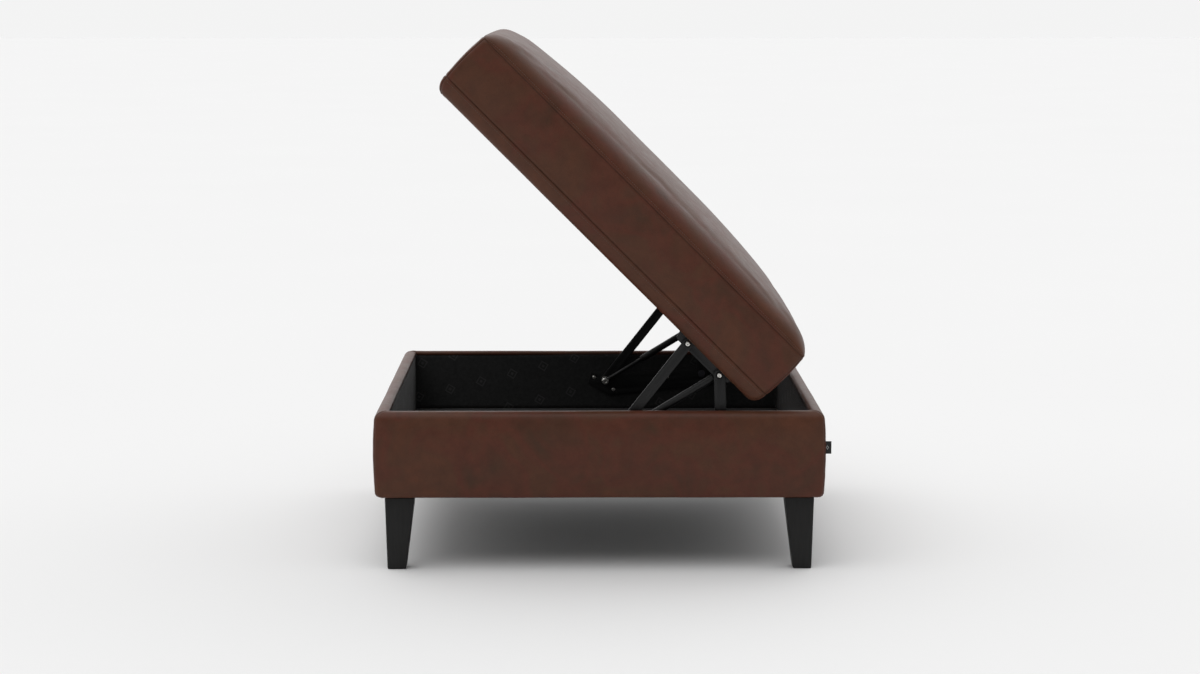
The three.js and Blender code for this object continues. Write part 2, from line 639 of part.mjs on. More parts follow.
function addLidRails() {
  const web = new THREE.Shape();
  web.moveTo(RAIL_FRONT, RAIL_TOP);
  web.lineTo(RAIL_FRONT + 5, RAIL_BOTTOM + 3);
  web.lineTo(RAIL_FRONT + 10, RAIL_BOTTOM);
  web.lineTo(RAIL_BACK - 12, RAIL_BOTTOM);
  web.lineTo(RAIL_BACK, RAIL_BOTTOM + 10);
  web.lineTo(RAIL_BACK, RAIL_TOP);
  addHole(web, FRONT_PIVOT_U, -PIVOT_DROP, PIVOT_R + GAP);
  addHole(web, FRONT_PIVOT_U + PIVOT_SPACING, -PIVOT_DROP, PIVOT_R + GAP);
  for (const [name, side] of SIDES) {
    const wallward = depthY(side, RAIL[0]);
    const inward = depthY(side, 40);
    const flange = boxBetween(
      [RAIL_FRONT, Math.min(wallward, inward), RAIL_TOP - RAIL_FLANGE],
      [RAIL_BACK, Math.max(wallward, inward), RAIL_TOP],
    );
    const screwHoles = RAIL_SCREWS.map((u) =>
      cylinderZ(
        RAIL_SCREW_HOLE, RAIL_TOP - RAIL_FLANGE - 1, RAIL_TOP + 1,
        u, depthY(side, RAIL_SCREW_DEPTH), 12,
      ));
    addMesh(lid, `lid_rail_${name}`, combine([layerPlate(web, side, RAIL), flange], screwHoles), steel);
    const rearRivet = rivet(side, FRONT_PIVOT_U + PIVOT_SPACING, -PIVOT_DROP, RAIL[1] + 0.2);
    addMesh(lid, `rear_arm_rivet_${name}`, rearRivet, zinc);
  }
}

// ---------- assembly ----------
addLegs();
addWallBoards();
addCornerBlocks();
addFloor();
addBottomCover();
addMesh(part, 'wall_foam', wallFoamGeometry(), foam);
addOnWalls(part, 'base_cover', () => mitredPanel(coverShape()), leather);
addLabelTab();
addHingePlates();
addArms();
addStruts();
addLidFrame();
addLidPadding();
addLidCover();
addLidRails();

export default part;
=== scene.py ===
import json
import math

import bmesh
import bpy
import numpy as np
from mathutils import Matrix, Vector, noise

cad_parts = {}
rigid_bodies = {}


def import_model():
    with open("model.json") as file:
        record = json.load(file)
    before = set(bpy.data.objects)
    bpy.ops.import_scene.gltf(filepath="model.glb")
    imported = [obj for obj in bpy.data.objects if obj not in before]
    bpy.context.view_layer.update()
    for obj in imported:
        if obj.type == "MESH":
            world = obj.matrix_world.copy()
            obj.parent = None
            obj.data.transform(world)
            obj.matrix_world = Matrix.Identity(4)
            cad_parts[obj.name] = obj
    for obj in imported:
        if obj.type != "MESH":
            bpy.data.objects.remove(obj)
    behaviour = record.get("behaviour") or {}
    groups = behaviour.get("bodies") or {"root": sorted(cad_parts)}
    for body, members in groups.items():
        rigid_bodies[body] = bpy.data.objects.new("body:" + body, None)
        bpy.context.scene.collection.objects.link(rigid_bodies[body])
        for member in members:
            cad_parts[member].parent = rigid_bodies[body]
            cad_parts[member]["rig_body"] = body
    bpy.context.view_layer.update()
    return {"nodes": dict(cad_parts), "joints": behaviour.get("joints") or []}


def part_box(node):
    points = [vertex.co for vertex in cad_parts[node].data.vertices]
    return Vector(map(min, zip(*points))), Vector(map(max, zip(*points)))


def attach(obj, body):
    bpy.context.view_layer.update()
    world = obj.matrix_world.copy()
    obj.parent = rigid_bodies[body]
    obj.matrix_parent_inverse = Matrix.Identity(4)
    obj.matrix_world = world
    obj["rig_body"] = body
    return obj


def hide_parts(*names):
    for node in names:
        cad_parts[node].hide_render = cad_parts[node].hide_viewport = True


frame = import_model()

MM = 0.001
scene = bpy.context.scene

# ---------- sizes read from the frame ----------
SIDES = {"right": -1, "left": 1}
WALLS = ("right", "back", "left", "front")  # in the order of the loops round the object
LINING_THICK = 1.5 * MM
SEAM_GAP = 0.3 * MM  # the lid's CAD panels stop this short of their seams
joints = {j["name"]: j for j in frame["joints"]}

COVER_LOW, COVER_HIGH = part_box("base_cover_back")
HALF, RIM_Z = COVER_HIGH.x, COVER_HIGH.z
HEM_END, HEM_Z = COVER_LOW.x, COVER_LOW.z
_, LINING_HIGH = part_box("lining_walls")
LINING_TOP = LINING_HIGH.z
INNER = LINING_HIGH.x - LINING_THICK
FLOOR_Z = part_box("lining_floor")[1].z
LID_TURN = Matrix.Rotation(math.radians(45), 4, "Y")


def turned_box(nodes, to_frame):
    """Lowest and highest corner of CAD nodes along the axes of another frame."""
    points = [to_frame @ v.co for n in nodes for v in frame["nodes"][n].data.vertices]
    points = np.array(points)
    return points.min(0), points.max(0)


BAND_LOW, BAND_HIGH = turned_box([f"lid_side_band_{wall}" for wall in WALLS], LID_TURN.inverted())
UNDER_LOW, _ = turned_box(["lid_under_band"], LID_TURN.inverted())
LID_MIDDLE = (BAND_LOW[0] + BAND_HIGH[0]) / 2
LID_FRAME = LID_TURN @ Matrix.Translation((LID_MIDDLE, 0, UNDER_LOW[2]))
LID_INVERSE = LID_FRAME.inverted()
LID_HALF = (BAND_HIGH[0] - BAND_LOW[0]) / 2
LOWER_SEAM = BAND_LOW[2] - UNDER_LOW[2] - SEAM_GAP
UPPER_SEAM = BAND_HIGH[2] - UNDER_LOW[2] + SEAM_GAP
LID_TOP = turned_box(["lid_top_panel"], LID_INVERSE)[1][2]
LID_SEAM = turned_box(["lid_under_band"], LID_INVERSE)[1][0]
BOARD_LOW, BOARD_HIGH = turned_box(["lid_board"], LID_INVERSE)
BOARD_UNDER = BOARD_LOW[2]
DUST_UNDER = turned_box(["lid_dust_cover"], LID_INVERSE)[0][2]


# ---------- meshes ----------
SHARP = 35  # degrees between two faces, from which their edge is sharp
MOST_CUT = 0.45  # share of a segment that a rounded corner takes, so that two corners don't meet


def new_piece(name, points, faces):
    mesh = bpy.data.meshes.new(name)
    points, faces = np.asarray(points, float), np.asarray(faces, dtype=object)
    mesh.from_pydata(points.tolist(), [], faces.tolist())
    mesh.update()
    piece = bpy.data.objects.new(name, mesh)
    scene.collection.objects.link(piece)
    return piece


def smooth(piece, angle=SHARP):
    piece.data.shade_smooth()
    piece.data.set_sharp_from_angle(angle=math.radians(angle))


def outward(piece, inside):
    """Turns a sheet's faces away from a point."""
    away = sum(f.normal.dot(f.center - Vector(inside)) * f.area for f in piece.data.polygons)
    if away < 0:
        piece.data.flip_normals()


def quads(index):
    """Faces between neighbours in a grid of point numbers."""
    corners = index[:-1, :-1], index[:-1, 1:], index[1:, 1:], index[1:, :-1]
    return np.stack(corners, -1).reshape(-1, 4)


def grid_faces(rows, columns):
    return quads(np.arange(rows * columns).reshape(rows, columns))


def ring_faces(index):
    """Faces of a grid whose last column joins its first."""
    return quads(np.column_stack([index, index[:, 0]]))


def tube_faces(rings, count):
    """Faces of a tube of rings of points, closed at both ends."""
    start = (rings - 1) * count
    ends = [list(range(count)), list(range(start, start + count))]
    return ring_faces(np.arange(rings * count).reshape(rings, count)).tolist() + ends


def joined(solids):
    """Several (points, faces) as one."""
    points, faces, start = [], [], 0
    for more, their in solids:
        points.extend(np.asarray(more, float).tolist())
        faces.extend([[i + start for i in face] for face in their])
        start += len(more)
    return points, faces


def finish_piece(piece, look, body, replaces=()):
    """Gives a piece the material of its look and its body, and hides the CAD nodes that it
    replaces.
    """
    material, slot = look
    piece.data.materials.clear()
    piece.data.materials.append(material)
    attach(piece, body)
    if replaces:
        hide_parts(*replaces)
    return piece


def solid_piece(name, solids, look, body, replaces=(), angle=SHARP):
    piece = new_piece(name, *joined(solids))
    bm = bmesh.new()
    bm.from_mesh(piece.data)
    bmesh.ops.recalc_face_normals(bm, faces=bm.faces)
    bm.to_mesh(piece.data)
    bm.free()
    smooth(piece, angle)
    return finish_piece(piece, look, body, replaces)


def lathe(profile, origin, axis, segments=48):
    """A profile of (along the axis, radius) turned round it. One that starts and ends on the axis
    is a solid, and any other closes on itself as a ring."""
    axis = Vector(axis).normalized()
    across = axis.orthogonal().normalized()
    other = axis.cross(across)
    points, rings = [], []
    for along, radius in profile:
        centre = Vector(origin) + axis * along
        count = 1 if radius == 0 else segments
        rings.append(range(len(points), len(points) + count))
        for i in range(count):
            turn = 2 * math.pi * i / segments
            points.append(centre + (across * math.cos(turn) + other * math.sin(turn)) * radius)
    faces = []
    pairs = list(zip(rings, rings[1:]))
    if profile[0][1] > 0:
        pairs.append((rings[-1], rings[0]))
    for one, two in pairs:
        for i in range(segments):
            a, b = one[i % len(one)], one[(i + 1) % len(one)]
            c, d = two[(i + 1) % len(two)], two[i % len(two)]
            faces.append(list(dict.fromkeys((a, b, c, d))))
    return points, faces


def softened(profile, radius, closed=False, steps=3):
    """A profile with its corners rounded; points on the axis stay."""
    points = [Vector(p) for p in profile]
    count = len(points)
    result = []
    for i, corner in enumerate(points):
        if not closed and i in (0, count - 1):
            result.append(tuple(corner))
            continue
        before, after = points[i - 1] - corner, points[(i + 1) % count] - corner
        cut = min(radius, before.length * MOST_CUT, after.length * MOST_CUT)
        start, end = corner + before.normalized() * cut, corner + after.normalized() * cut
        for k in range(steps + 1):
            t = k / steps
            result.append(tuple(start * (1 - t) ** 2 + corner * 2 * t * (1 - t) + end * t * t))
    return result


def refined(node, look, bevel, segments=2, shortest=0.0):
    """A CAD solid's shape again with its edges rounded. It stands for the node."""
    bm = bmesh.new()
    bm.from_mesh(frame["nodes"][node].data)
    bmesh.ops.remove_doubles(bm, verts=bm.verts, dist=1e-6)
    bmesh.ops.dissolve_limit(bm, angle_limit=math.radians(1), verts=bm.verts, edges=bm.edges)
    sharp = [e for e in bm.edges if e.is_manifold and e.calc_face_angle() > math.radians(SHARP)]
    sharp = [e for e in sharp if e.calc_length() > shortest]
    bmesh.ops.bevel(bm, geom=sharp, offset=bevel, segments=segments, profile=0.5, affect="EDGES")
    mesh = bpy.data.meshes.new(node + "_detail")
    bm.to_mesh(mesh)
    bm.free()
    piece = bpy.data.objects.new(node + "_detail", mesh)
    scene.collection.objects.link(piece)
    smooth(piece, 40)
    return finish_piece(piece, look, frame["nodes"][node]["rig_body"], [node])


# ---------- grids of points ----------
def rounded(plan, half, radius):
    """Points of a square, moved so that its corners become arcs."""
    centre = half - radius
    over = np.clip(np.abs(plan) - centre, 0, None) / radius
    a, b = over[..., 0], over[..., 1]
    bent = np.stack([a * np.sqrt(1 - b * b / 2), b * np.sqrt(1 - a * a / 2)], -1) * radius
    return np.sign(plan) * (np.minimum(np.abs(plan), centre) + bent)


def square_loop(shares, half, height, radius):
    """A closed loop round the four walls at a height. Shares run from -1 to 1 along a wall."""
    side = shares[:-1] * half
    edge = np.full_like(side, half)
    walls = [(side, -edge), (edge, side), (-side, edge), (-edge, -side)]
    plan = np.concatenate([np.stack(wall, -1) for wall in walls])
    plan = rounded(plan, half, radius)
    return np.column_stack([plan, np.full(len(plan), height)])


def catmull(points, at):
    """A smooth curve through points along the first axis, at fractional indices."""
    start = np.clip(np.floor(at).astype(int), 0, len(points) - 2)
    ends = [2 * points[0] - points[1]], [2 * points[-1] - points[-2]]
    padded = np.concatenate([ends[0], points, ends[1]])
    a, b, c, d = (padded[start + k] for k in range(4))
    t = (at - start).reshape(-1, *[1] * (points.ndim - 1))
    cubic = 3 * b - a - 3 * c + d
    return 0.5 * (2 * b + (c - a) * t + (2 * a - 5 * b + 4 * c - d) * t**2 + cubic * t**3)


def lengths(line):
    steps = np.linalg.norm(np.diff(line, axis=0), axis=1)
    return np.concatenate([[0], np.cumsum(steps)])


SEAM_ROWS = np.cumsum([0, 0.6, 0.7, 0.9, 1.1, 1.3, 1.4, 1.8, 2.6]) * MM


def spaced(length, step, near_start, near_end):
    """Distances from 0 to a length: close together next to a seam, then even."""
    head = SEAM_ROWS if near_start else np.zeros(1)
    tail = length - SEAM_ROWS[::-1] if near_end else np.full(1, length)
    count = max(2, round((tail[0] - head[-1]) / step) + 1)
    return np.concatenate([head[:-1], np.linspace(head[-1], tail[0], count), tail[1:]])


def grid_normals(grid, inside):
    rows, columns = np.gradient(grid, axis=0), np.gradient(grid, axis=1)
    normals = np.cross(rows, columns)
    normals /= np.maximum(np.linalg.norm(normals, axis=-1, keepdims=True), 1e-12)
    facing = ((grid - np.array(inside)) * normals).sum()
    return normals if facing > 0 else -normals


# ---------- materials ----------
class Finish:
    """One procedural material."""

    def __init__(self, name):
        self.material = bpy.data.materials.new(name)
        self.material.use_nodes = True
        self.tree = self.material.node_tree
        self.shader = self.tree.nodes["Principled BSDF"]

    def feed(self, target, value):
        if isinstance(value, bpy.types.NodeSocket):
            self.tree.links.new(value, target)
        else:
            target.default_value = value

    def node(self, kind, settings=None, **inputs):
        made = self.tree.nodes.new("ShaderNode" + kind)
        for key, value in (settings or {}).items():
            setattr(made, key, value)
        for key, value in inputs.items():
            self.feed(made.inputs[key.replace("_", " ")], value)
        return made

    def place(self, kind="Object"):
        return self.node("TexCoord").outputs[kind]

    def math(self, operation, *values):
        made = self.node("Math", {"operation": operation})
        for target, value in zip(made.inputs, values):
            self.feed(target, value)
        return made.outputs[0]

    def noise(self, place, scale, detail=3.0, roughness=0.5, distortion=0.0):
        inputs = dict(Scale=scale, Detail=detail, Roughness=roughness, Distortion=distortion)
        return self.node("TexNoise", Vector=place, **inputs).outputs["Fac"]

    def cells(self, place, scale, feature="F1"):
        made = self.node("TexVoronoi", {"feature": feature}, Vector=place, Scale=scale)
        return made.outputs["Distance"]

    def stretched(self, place, factors):
        made = self.node("Mapping", Vector=place)
        made.inputs["Scale"].default_value = factors
        return made.outputs[0]

    def ramp(self, value, stops):
        made = self.node("ValToRGB", Fac=value)
        ramp = made.color_ramp
        while len(ramp.elements) < len(stops):
            ramp.elements.new(0.5)
        for element, (at, colour) in zip(ramp.elements, stops):
            element.position = at
            element.color = (*colour, 1) if isinstance(colour, tuple) else (*[colour] * 3, 1)
        return made.outputs["Color"]

    def mix(self, share, a, b, way="MIX"):
        made = self.node("Mix", {"data_type": "RGBA", "blend_type": way})
        for target, value in zip((made.inputs[0], made.inputs[6], made.inputs[7]), (share, a, b)):
            value = (*value, 1) if isinstance(value, tuple) else value
            self.feed(target, value)
        return made.outputs[2]

    def bump(self, height, distance, strength=1.0, under=None):
        made = self.node("Bump", Height=height, Distance=distance, Strength=strength)
        if under:
            self.feed(made.inputs["Normal"], under)
        return made.outputs[0]

    def shade(self, **inputs):
        for key, value in inputs.items():
            value = (*value, 1) if isinstance(value, tuple) else value
            self.feed(self.shader.inputs[key.replace("_", " ")], value)
        return self.material

    def two_tone(self, value, dark, light):
        return self.ramp(value, [(0.3, dark), (0.7, light)])

    def scaled(self, value, factor, offset):
        return self.math("ADD", self.math("MULTIPLY", value, factor), offset)

    def off(self, value, centre):
        return self.math("ABSOLUTE", self.math("SUBTRACT", value, centre))


def leather_finish():
    """Brown grained leather: cloudy colour, creases and pebbles in relief, painted shade in the
    creases, and painted shade along the sunk seams.
    """
    f = Finish("brown_leather")
    place = f.place()
    patches = f.noise(place, 9, roughness=0.55, distortion=0.6)
    colour = f.ramp(patches, [(0.30, (0.072, 0.031, 0.017)), (0.46, (0.098, 0.030, 0.017)),
                              (0.56, (0.088, 0.034, 0.018)), (0.70, (0.104, 0.036, 0.018))])
    clouds = f.noise(place, 42, detail=4, roughness=0.6)
    colour = f.mix(0.4, colour, f.ramp(clouds, [(0.35, 0.62), (0.65, 1.0)]), "MULTIPLY")
    pebbles = f.cells(place, 620, "SMOOTH_F1")
    creases = f.cells(place, 380, "DISTANCE_TO_EDGE")
    # Painted shade: the colour is darkened along the grain's creases, in the valleys of its relief.
    colour = f.mix(0.5, colour, f.ramp(creases, [(0.0, 0.72), (0.12, 1.0)]), "MULTIPLY")
    # Painted shade: the "seam" attribute darkens the colour towards near black in and beside the
    # sunk seams; it also roughens them.
    seam = f.node("Attribute", {"attribute_name": "seam"}).outputs["Fac"]
    colour = f.mix(f.math("MULTIPLY", seam, 0.4), colour, (0.018, 0.009, 0.007))
    rough = f.scaled(seam, 0.2, f.scaled(clouds, 0.22, 0.33))
    grain = f.bump(f.math("MINIMUM", creases, 0.18), 0.5 * MM, 0.35)
    grain = f.bump(pebbles, 0.25 * MM, 0.3, grain)
    grain = f.bump(f.noise(place, 55, detail=5), 1.6 * MM, 0.35, grain)
    return f.shade(Base_Color=colour, Roughness=rough, Normal=grain, Specular_IOR_Level=0.2)


def lining_finish():
    """Black cloth with a faint staggered pattern of plain diamonds, laid by a UV map in metres."""
    f = Finish("black_lining")
    pitch, size = 68 * MM, 12 * MM
    turned = f.node("Mapping", Vector=f.place("UV"))
    turned.inputs["Rotation"].default_value = (0, 0, math.radians(14))
    split = f.node("SeparateXYZ", Vector=turned.outputs[0])
    row = f.math("DIVIDE", split.outputs[1], pitch)
    shift = f.scaled(f.math("FLOOR", row), 0.37, f.math("DIVIDE", split.outputs[0], pitch))
    away = f.math("ADD", f.off(f.math("FRACT", shift), 0.5), f.off(f.math("FRACT", row), 0.5))
    away = f.math("MULTIPLY", away, pitch / size)
    ring = f.math("LESS_THAN", f.off(away, 0.85), 0.15)
    heart = f.math("LESS_THAN", away, 0.3)
    motif = f.math("MAXIMUM", ring, heart)
    weave = f.node("TexWave", {"wave_type": "BANDS", "bands_direction": "DIAGONAL"},
                   Vector=f.place("UV"), Scale=420.0, Distortion=0.6).outputs["Fac"]
    fuzz = f.noise(f.place(), 160, detail=5)
    colour = f.two_tone(fuzz, 0.022, 0.032)
    colour = f.mix(f.math("MULTIPLY", motif, 0.9), colour, (0.052, 0.052, 0.052))
    rough = f.scaled(motif, -0.25, 0.85)
    relief = f.bump(weave, 0.15 * MM, 0.5)
    relief = f.bump(fuzz, 0.6 * MM, 0.4, relief)
    return f.shade(Base_Color=colour, Roughness=rough, Normal=relief, Specular_IOR_Level=0.2,
                   Sheen_Weight=0.15)


def cambric_finish():
    """Black non-woven cloth, pressed in dots."""
    f = Finish("black_cambric")
    fibres = f.noise(f.stretched(f.place(), (1.0, 0.35, 1.0)), 900, detail=6, roughness=0.7)
    dots = f.cells(f.place(), 420)
    relief = f.bump(dots, 0.2 * MM, 0.5, f.bump(fibres, 0.2 * MM, 0.4))
    return f.shade(Base_Color=f.two_tone(fibres, 0.006, 0.016), Roughness=0.9, Normal=relief,
                   Specular_IOR_Level=0.2)


def foam_finish():
    f = Finish("upholstery_foam")
    pores = f.cells(f.place(), 900)
    stain = f.noise(f.place(), 12)
    # Painted shade: the foam is darker in its pores and paler on the cell walls between them.
    pale = f.ramp(pores, [(0.2, 0.0), (0.6, 1.0)])
    colour = f.mix(pale, (0.45, 0.40, 0.27), (0.72, 0.67, 0.52))
    colour = f.mix(0.3, colour, f.two_tone(stain, 0.8, 1.0), "MULTIPLY")
    return f.shade(Base_Color=colour, Roughness=0.95, Normal=f.bump(pores, 0.5 * MM, 0.6))


def timber_finish():
    """Plywood: grain along x, and layers in z."""
    f = Finish("plywood")
    place = f.stretched(f.place(), (1.0, 9.0, 9.0))
    grain = f.noise(place, 14, detail=6, roughness=0.6, distortion=1.2)
    layers = f.node("TexWave", {"wave_type": "BANDS", "bands_direction": "Z"}, Vector=f.place(),
                    Scale=110.0, Distortion=1.5, Detail=2.0).outputs["Fac"]
    colour = f.ramp(grain, [(0.3, (0.40, 0.26, 0.13)), (0.55, (0.56, 0.40, 0.23)),
                            (0.75, (0.64, 0.49, 0.31))])
    colour = f.mix(0.25, colour, f.ramp(layers, [(0.3, 0.6), (0.6, 1.0)]), "MULTIPLY")
    return f.shade(Base_Color=colour, Roughness=0.65, Normal=f.bump(grain, 0.4 * MM, 0.4))


def lacquer_finish():
    """Black satin lacquer over upright grain, a little scuffed."""
    f = Finish("black_lacquered_wood")
    place = f.stretched(f.place(), (14.0, 14.0, 1.0))
    grain = f.noise(place, 22, detail=6, roughness=0.6, distortion=0.4)
    scuffs = f.noise(f.place(), 30, detail=5)
    colour = f.two_tone(grain, (0.0085, 0.0083, 0.0081), (0.0130, 0.0127, 0.0124))
    relief = f.bump(grain, 0.15 * MM, 0.3)
    return f.shade(Base_Color=colour, Roughness=f.scaled(scuffs, 0.2, 0.38), Normal=relief,
                   Specular_IOR_Level=0.25)


def metal_finish(name, patches, dark, light, rough, peel, relief, **more):
    """Patches and peel are noises of (scale, detail), for colour with roughness and for relief."""
    f = Finish(name)
    tone = f.noise(f.place(), patches[0], detail=patches[1])
    bumps = f.noise(f.place(), peel[0], detail=peel[1])
    return f.shade(Base_Color=f.two_tone(tone, dark, light), Roughness=f.scaled(tone, *rough),
                   Normal=f.bump(bumps, relief[0] * MM, relief[1]), **more)


def flecked_finish(name, scale, detail, dark, light, roughness, relief=None, **more):
    """One noise gives the colour and the relief of (millimetres, strength)."""
    f = Finish(name)
    flecks = f.noise(f.place(), scale, detail=detail)
    if relief:
        more["Normal"] = f.bump(flecks, relief[0] * MM, relief[1])
    return f.shade(Base_Color=f.two_tone(flecks, dark, light), Roughness=roughness, **more)


def ribbon_finish():
    """Black woven ribbon with one small plain pale diamond, placed by a UV map in metres."""
    f = Finish("woven_ribbon")
    split = f.node("SeparateXYZ", Vector=f.place("UV"))
    ribs = f.node("TexWave", {"bands_direction": "Y"}, Vector=f.place("UV"), Scale=600.0)
    ribs = ribs.outputs["Fac"]
    across = f.math("DIVIDE", f.off(split.outputs[0], 5.4 * MM), 2.6 * MM)
    up = f.math("DIVIDE", f.off(split.outputs[1], 11.5 * MM), 4.2 * MM)
    ring = f.math("LESS_THAN", f.off(f.math("ADD", across, up), 0.8), 0.2)
    colour = f.ramp(ribs, [(0.2, 0.006), (0.8, 0.014)])
    colour = f.mix(f.math("MULTIPLY", ring, 0.75), colour, (0.45, 0.45, 0.44))
    return f.shade(Base_Color=colour, Roughness=0.75, Normal=f.bump(ribs, 0.1 * MM, 0.6))


# Each look is a material and the record's slot that it belongs to.
LEATHER = leather_finish(), "leather_cover"
THREAD = flecked_finish("brown_thread", 2200, 2, (0.060, 0.032, 0.022), (0.120, 0.068, 0.046), 0.6,
                        (0.1, 0.5)), "leather_cover"
LINING = lining_finish(), "lining_cloth"
CAMBRIC = cambric_finish(), "dust_cloth"
FOAM = foam_finish(), "padding"
TIMBER = timber_finish(), "timber"
LACQUER = lacquer_finish(), "leg_lacquer"
STEEL = metal_finish("black_powder_coat", (25, 4), (0.007, 0.007, 0.0073), (0.011, 0.011, 0.0113),
                     (0.18, 0.36), (700, 2), (0.12, 0.35), Specular_IOR_Level=0.3), "hinge_steel"
RUBBER = flecked_finish("black_rubber", 300, 4, 0.005, 0.010, 0.9, (0.05, 0.3),
                        Specular_IOR_Level=0.15), "hinge_steel"
ZINC = metal_finish("zinc_plate", (120, 5), (0.52, 0.51, 0.48), (0.76, 0.75, 0.72), (0.2, 0.2),
                    (1400, 2), (0.05, 0.3), Metallic=1.0), "zinc_fittings"
CAP = flecked_finish("cap_plastic", 500, 3, (0.022, 0.022, 0.030), (0.034, 0.033, 0.044), 0.55,
                     (0.06, 0.3)), "bolt_cap"
RIBBON = ribbon_finish(), "label_ribbon"


# ---------- camera, floor and light ----------
# The camera is where the photograph's was, solved from the base's corners, rim and feet.
CAMERA_PLACE = (-0.0377, -4.902, 1.039)
CAMERA_PITCH, CAMERA_YAW = 82.304, -0.488  # degrees
CAMERA_LENS, CAMERA_SENSOR = 75.5, 36  # millimetres
CLIP_END = 200
FLOOR_REACH = 60
FLOOR_TONES = 0.836, 0.842
SUN_STRENGTH, SUN_SIZE = 1.05, 65  # the size is in degrees
SUN_PITCH, SUN_ROLL = 18, -10
BRIGHT_SIDE = (-0.15, 0.85, 0.50)  # the surround is brightest towards here
SURROUND = {"From Min": -0.3, "From Max": 1.0, "To Min": 0.25, "To Max": 1.3}
BACKDROP = 0.9  # the surround's strength as the camera sees it


def make_studio():
    camera = bpy.data.objects.new("camera", bpy.data.cameras.new("camera"))
    camera.location = CAMERA_PLACE
    camera.rotation_euler = (math.radians(CAMERA_PITCH), 0, math.radians(CAMERA_YAW))
    camera.data.lens = CAMERA_LENS
    camera.data.sensor_width = CAMERA_SENSOR
    camera.data.clip_end = CLIP_END
    scene.collection.objects.link(camera)
    scene.camera = camera

    reach = FLOOR_REACH
    corners = [(-reach, -reach, 0), (reach, -reach, 0), (reach, reach, 0), (-reach, reach, 0)]
    floor = new_piece("studio_floor", corners, [[0, 1, 2, 3]])
    floor.data.materials.append(
        flecked_finish("studio_floor", 0.8, 2, *FLOOR_TONES, 1.0, Specular_IOR_Level=0.0))

    sun = bpy.data.objects.new("overhead_light", bpy.data.lights.new("overhead_light", "SUN"))
    sun.data.energy = SUN_STRENGTH
    sun.data.angle = math.radians(SUN_SIZE)
    sun.rotation_euler = (math.radians(SUN_PITCH), math.radians(SUN_ROLL), 0)
    scene.collection.objects.link(sun)
    make_surround()
    scene.view_settings.view_transform = "Standard"


def make_surround():
    """A white studio: brighter overhead and behind the object than on the camera's side."""
    world = bpy.data.worlds.new("studio")
    scene.world = world
    world.use_nodes = True
    tree = world.node_tree
    background = tree.nodes["Background"]
    background.inputs["Color"].default_value = (1, 1, 1, 1)
    coordinates, towards, ramp, seen, pick = (tree.nodes.new("ShaderNode" + kind) for kind in (
        "TexCoord", "VectorMath", "MapRange", "LightPath", "Mix"))
    towards.operation = "DOT_PRODUCT"
    towards.inputs[1].default_value = BRIGHT_SIDE
    for key, value in SURROUND.items():
        ramp.inputs[key].default_value = value
    pick.inputs[3].default_value = BACKDROP
    tree.links.new(coordinates.outputs["Generated"], towards.inputs[0])
    tree.links.new(towards.outputs["Value"], ramp.inputs["Value"])
    tree.links.new(seen.outputs["Is Camera Ray"], pick.inputs[0])
    tree.links.new(ramp.outputs[0], pick.inputs[2])
    tree.links.new(pick.outputs[0], background.inputs["Strength"])


make_studio()


# ---------- cloth simulation ----------
CLOTH = {
    "quality": 5, "tension_stiffness": 35, "compression_stiffness": 35, "shear_stiffness": 12,
    "bending_stiffness": 6, "air_damping": 3, "use_pressure": True, "vertex_group_mass": "pins",
    "pin_stiffness": 1, "vertex_group_shrink": "seams", "shrink_min": 0, "shrink_max": 0.004,
}
SIMULATED_FRAMES = 20
MOST_MOVED = 5 * MM  # how far the simulation may move a point


def inflated(points, faces, pins, seams, pressure):
    """The points of a cover after a cloth simulation with pressure inside."""
    cover = new_piece("cover_in_simulation", points, faces)
    outward(cover, np.mean(points, axis=0))
    for name, weights in (("pins", pins), ("seams", seams)):
        group = cover.vertex_groups.new(name=name)
        for weight in sorted(set(weights)):
            members = np.flatnonzero(np.asarray(weights) == weight).tolist()
            group.add(members, float(weight), "REPLACE")
    cloth = cover.modifiers.new("Cloth", "CLOTH")
    for key, value in CLOTH.items():
        setattr(cloth.settings, key, value)
    cloth.settings.uniform_pressure_force = pressure
    cloth.settings.effector_weights.gravity = 0
    cloth.collision_settings.use_collision = False
    cloth.point_cache.frame_start = 1
    cloth.point_cache.frame_end = SIMULATED_FRAMES
    for number in range(1, SIMULATED_FRAMES + 1):
        scene.frame_set(number)
    shown = cover.evaluated_get(bpy.context.evaluated_depsgraph_get())
    after = np.array([v.co for v in shown.data.vertices], float)
    normals = np.array([v.normal for v in cover.data.vertices])
    moved = after - points
    push = (moved * normals).sum(1, keepdims=True)
    moved = moved - normals * np.minimum(push, 0)  # the padding stops the cover from sinking in
    far = np.maximum(np.linalg.norm(moved, axis=1, keepdims=True), 1e-9)
    scene.frame_set(1)
    bpy.data.objects.remove(cover)
    return points + moved * (MOST_MOVED * np.tanh(far / MOST_MOVED) / far)


# ---------- leather panels ----------
HIDE = 1.3 * MM
SEAM_DEPTH = 1.1 * MM
SEAM_WIDTH = 1.1 * MM
RIDGE, RIDGE_LINE, RIDGE_WIDTH = 0.55 * MM, 4.5 * MM, 3 * MM  # over the turned-in edge
STITCH_LINE = 6.0 * MM
STITCH_DIP, STITCH_DIP_WIDTH = 0.45 * MM, 0.9 * MM
PUCKER, PUCKER_FADE = 0.7 * MM, 16 * MM
PUCKER_PITCH, PUCKER_LENGTH = 13 * MM, 45 * MM
WAVE, WAVE_SIZE = 0.6 * MM, 110 * MM
SEAM_CALM = 3 * MM  # unevenness fades out this near a seam
# How far from a seam the painted seam shade reaches.
SEAM_SHADE_WIDTH = 0.8 * MM
TURN_IN = 2.5 * MM
EDGES = ("first_row", "last_row", "first_column", "last_column")


def from_edges(rows, columns):
    """Distances of each point of a grid from its four edges."""
    across, along = np.meshgrid(rows, columns, indexing="ij")
    return dict(zip(EDGES, (across, rows[-1] - across, along, columns[-1] - along)))


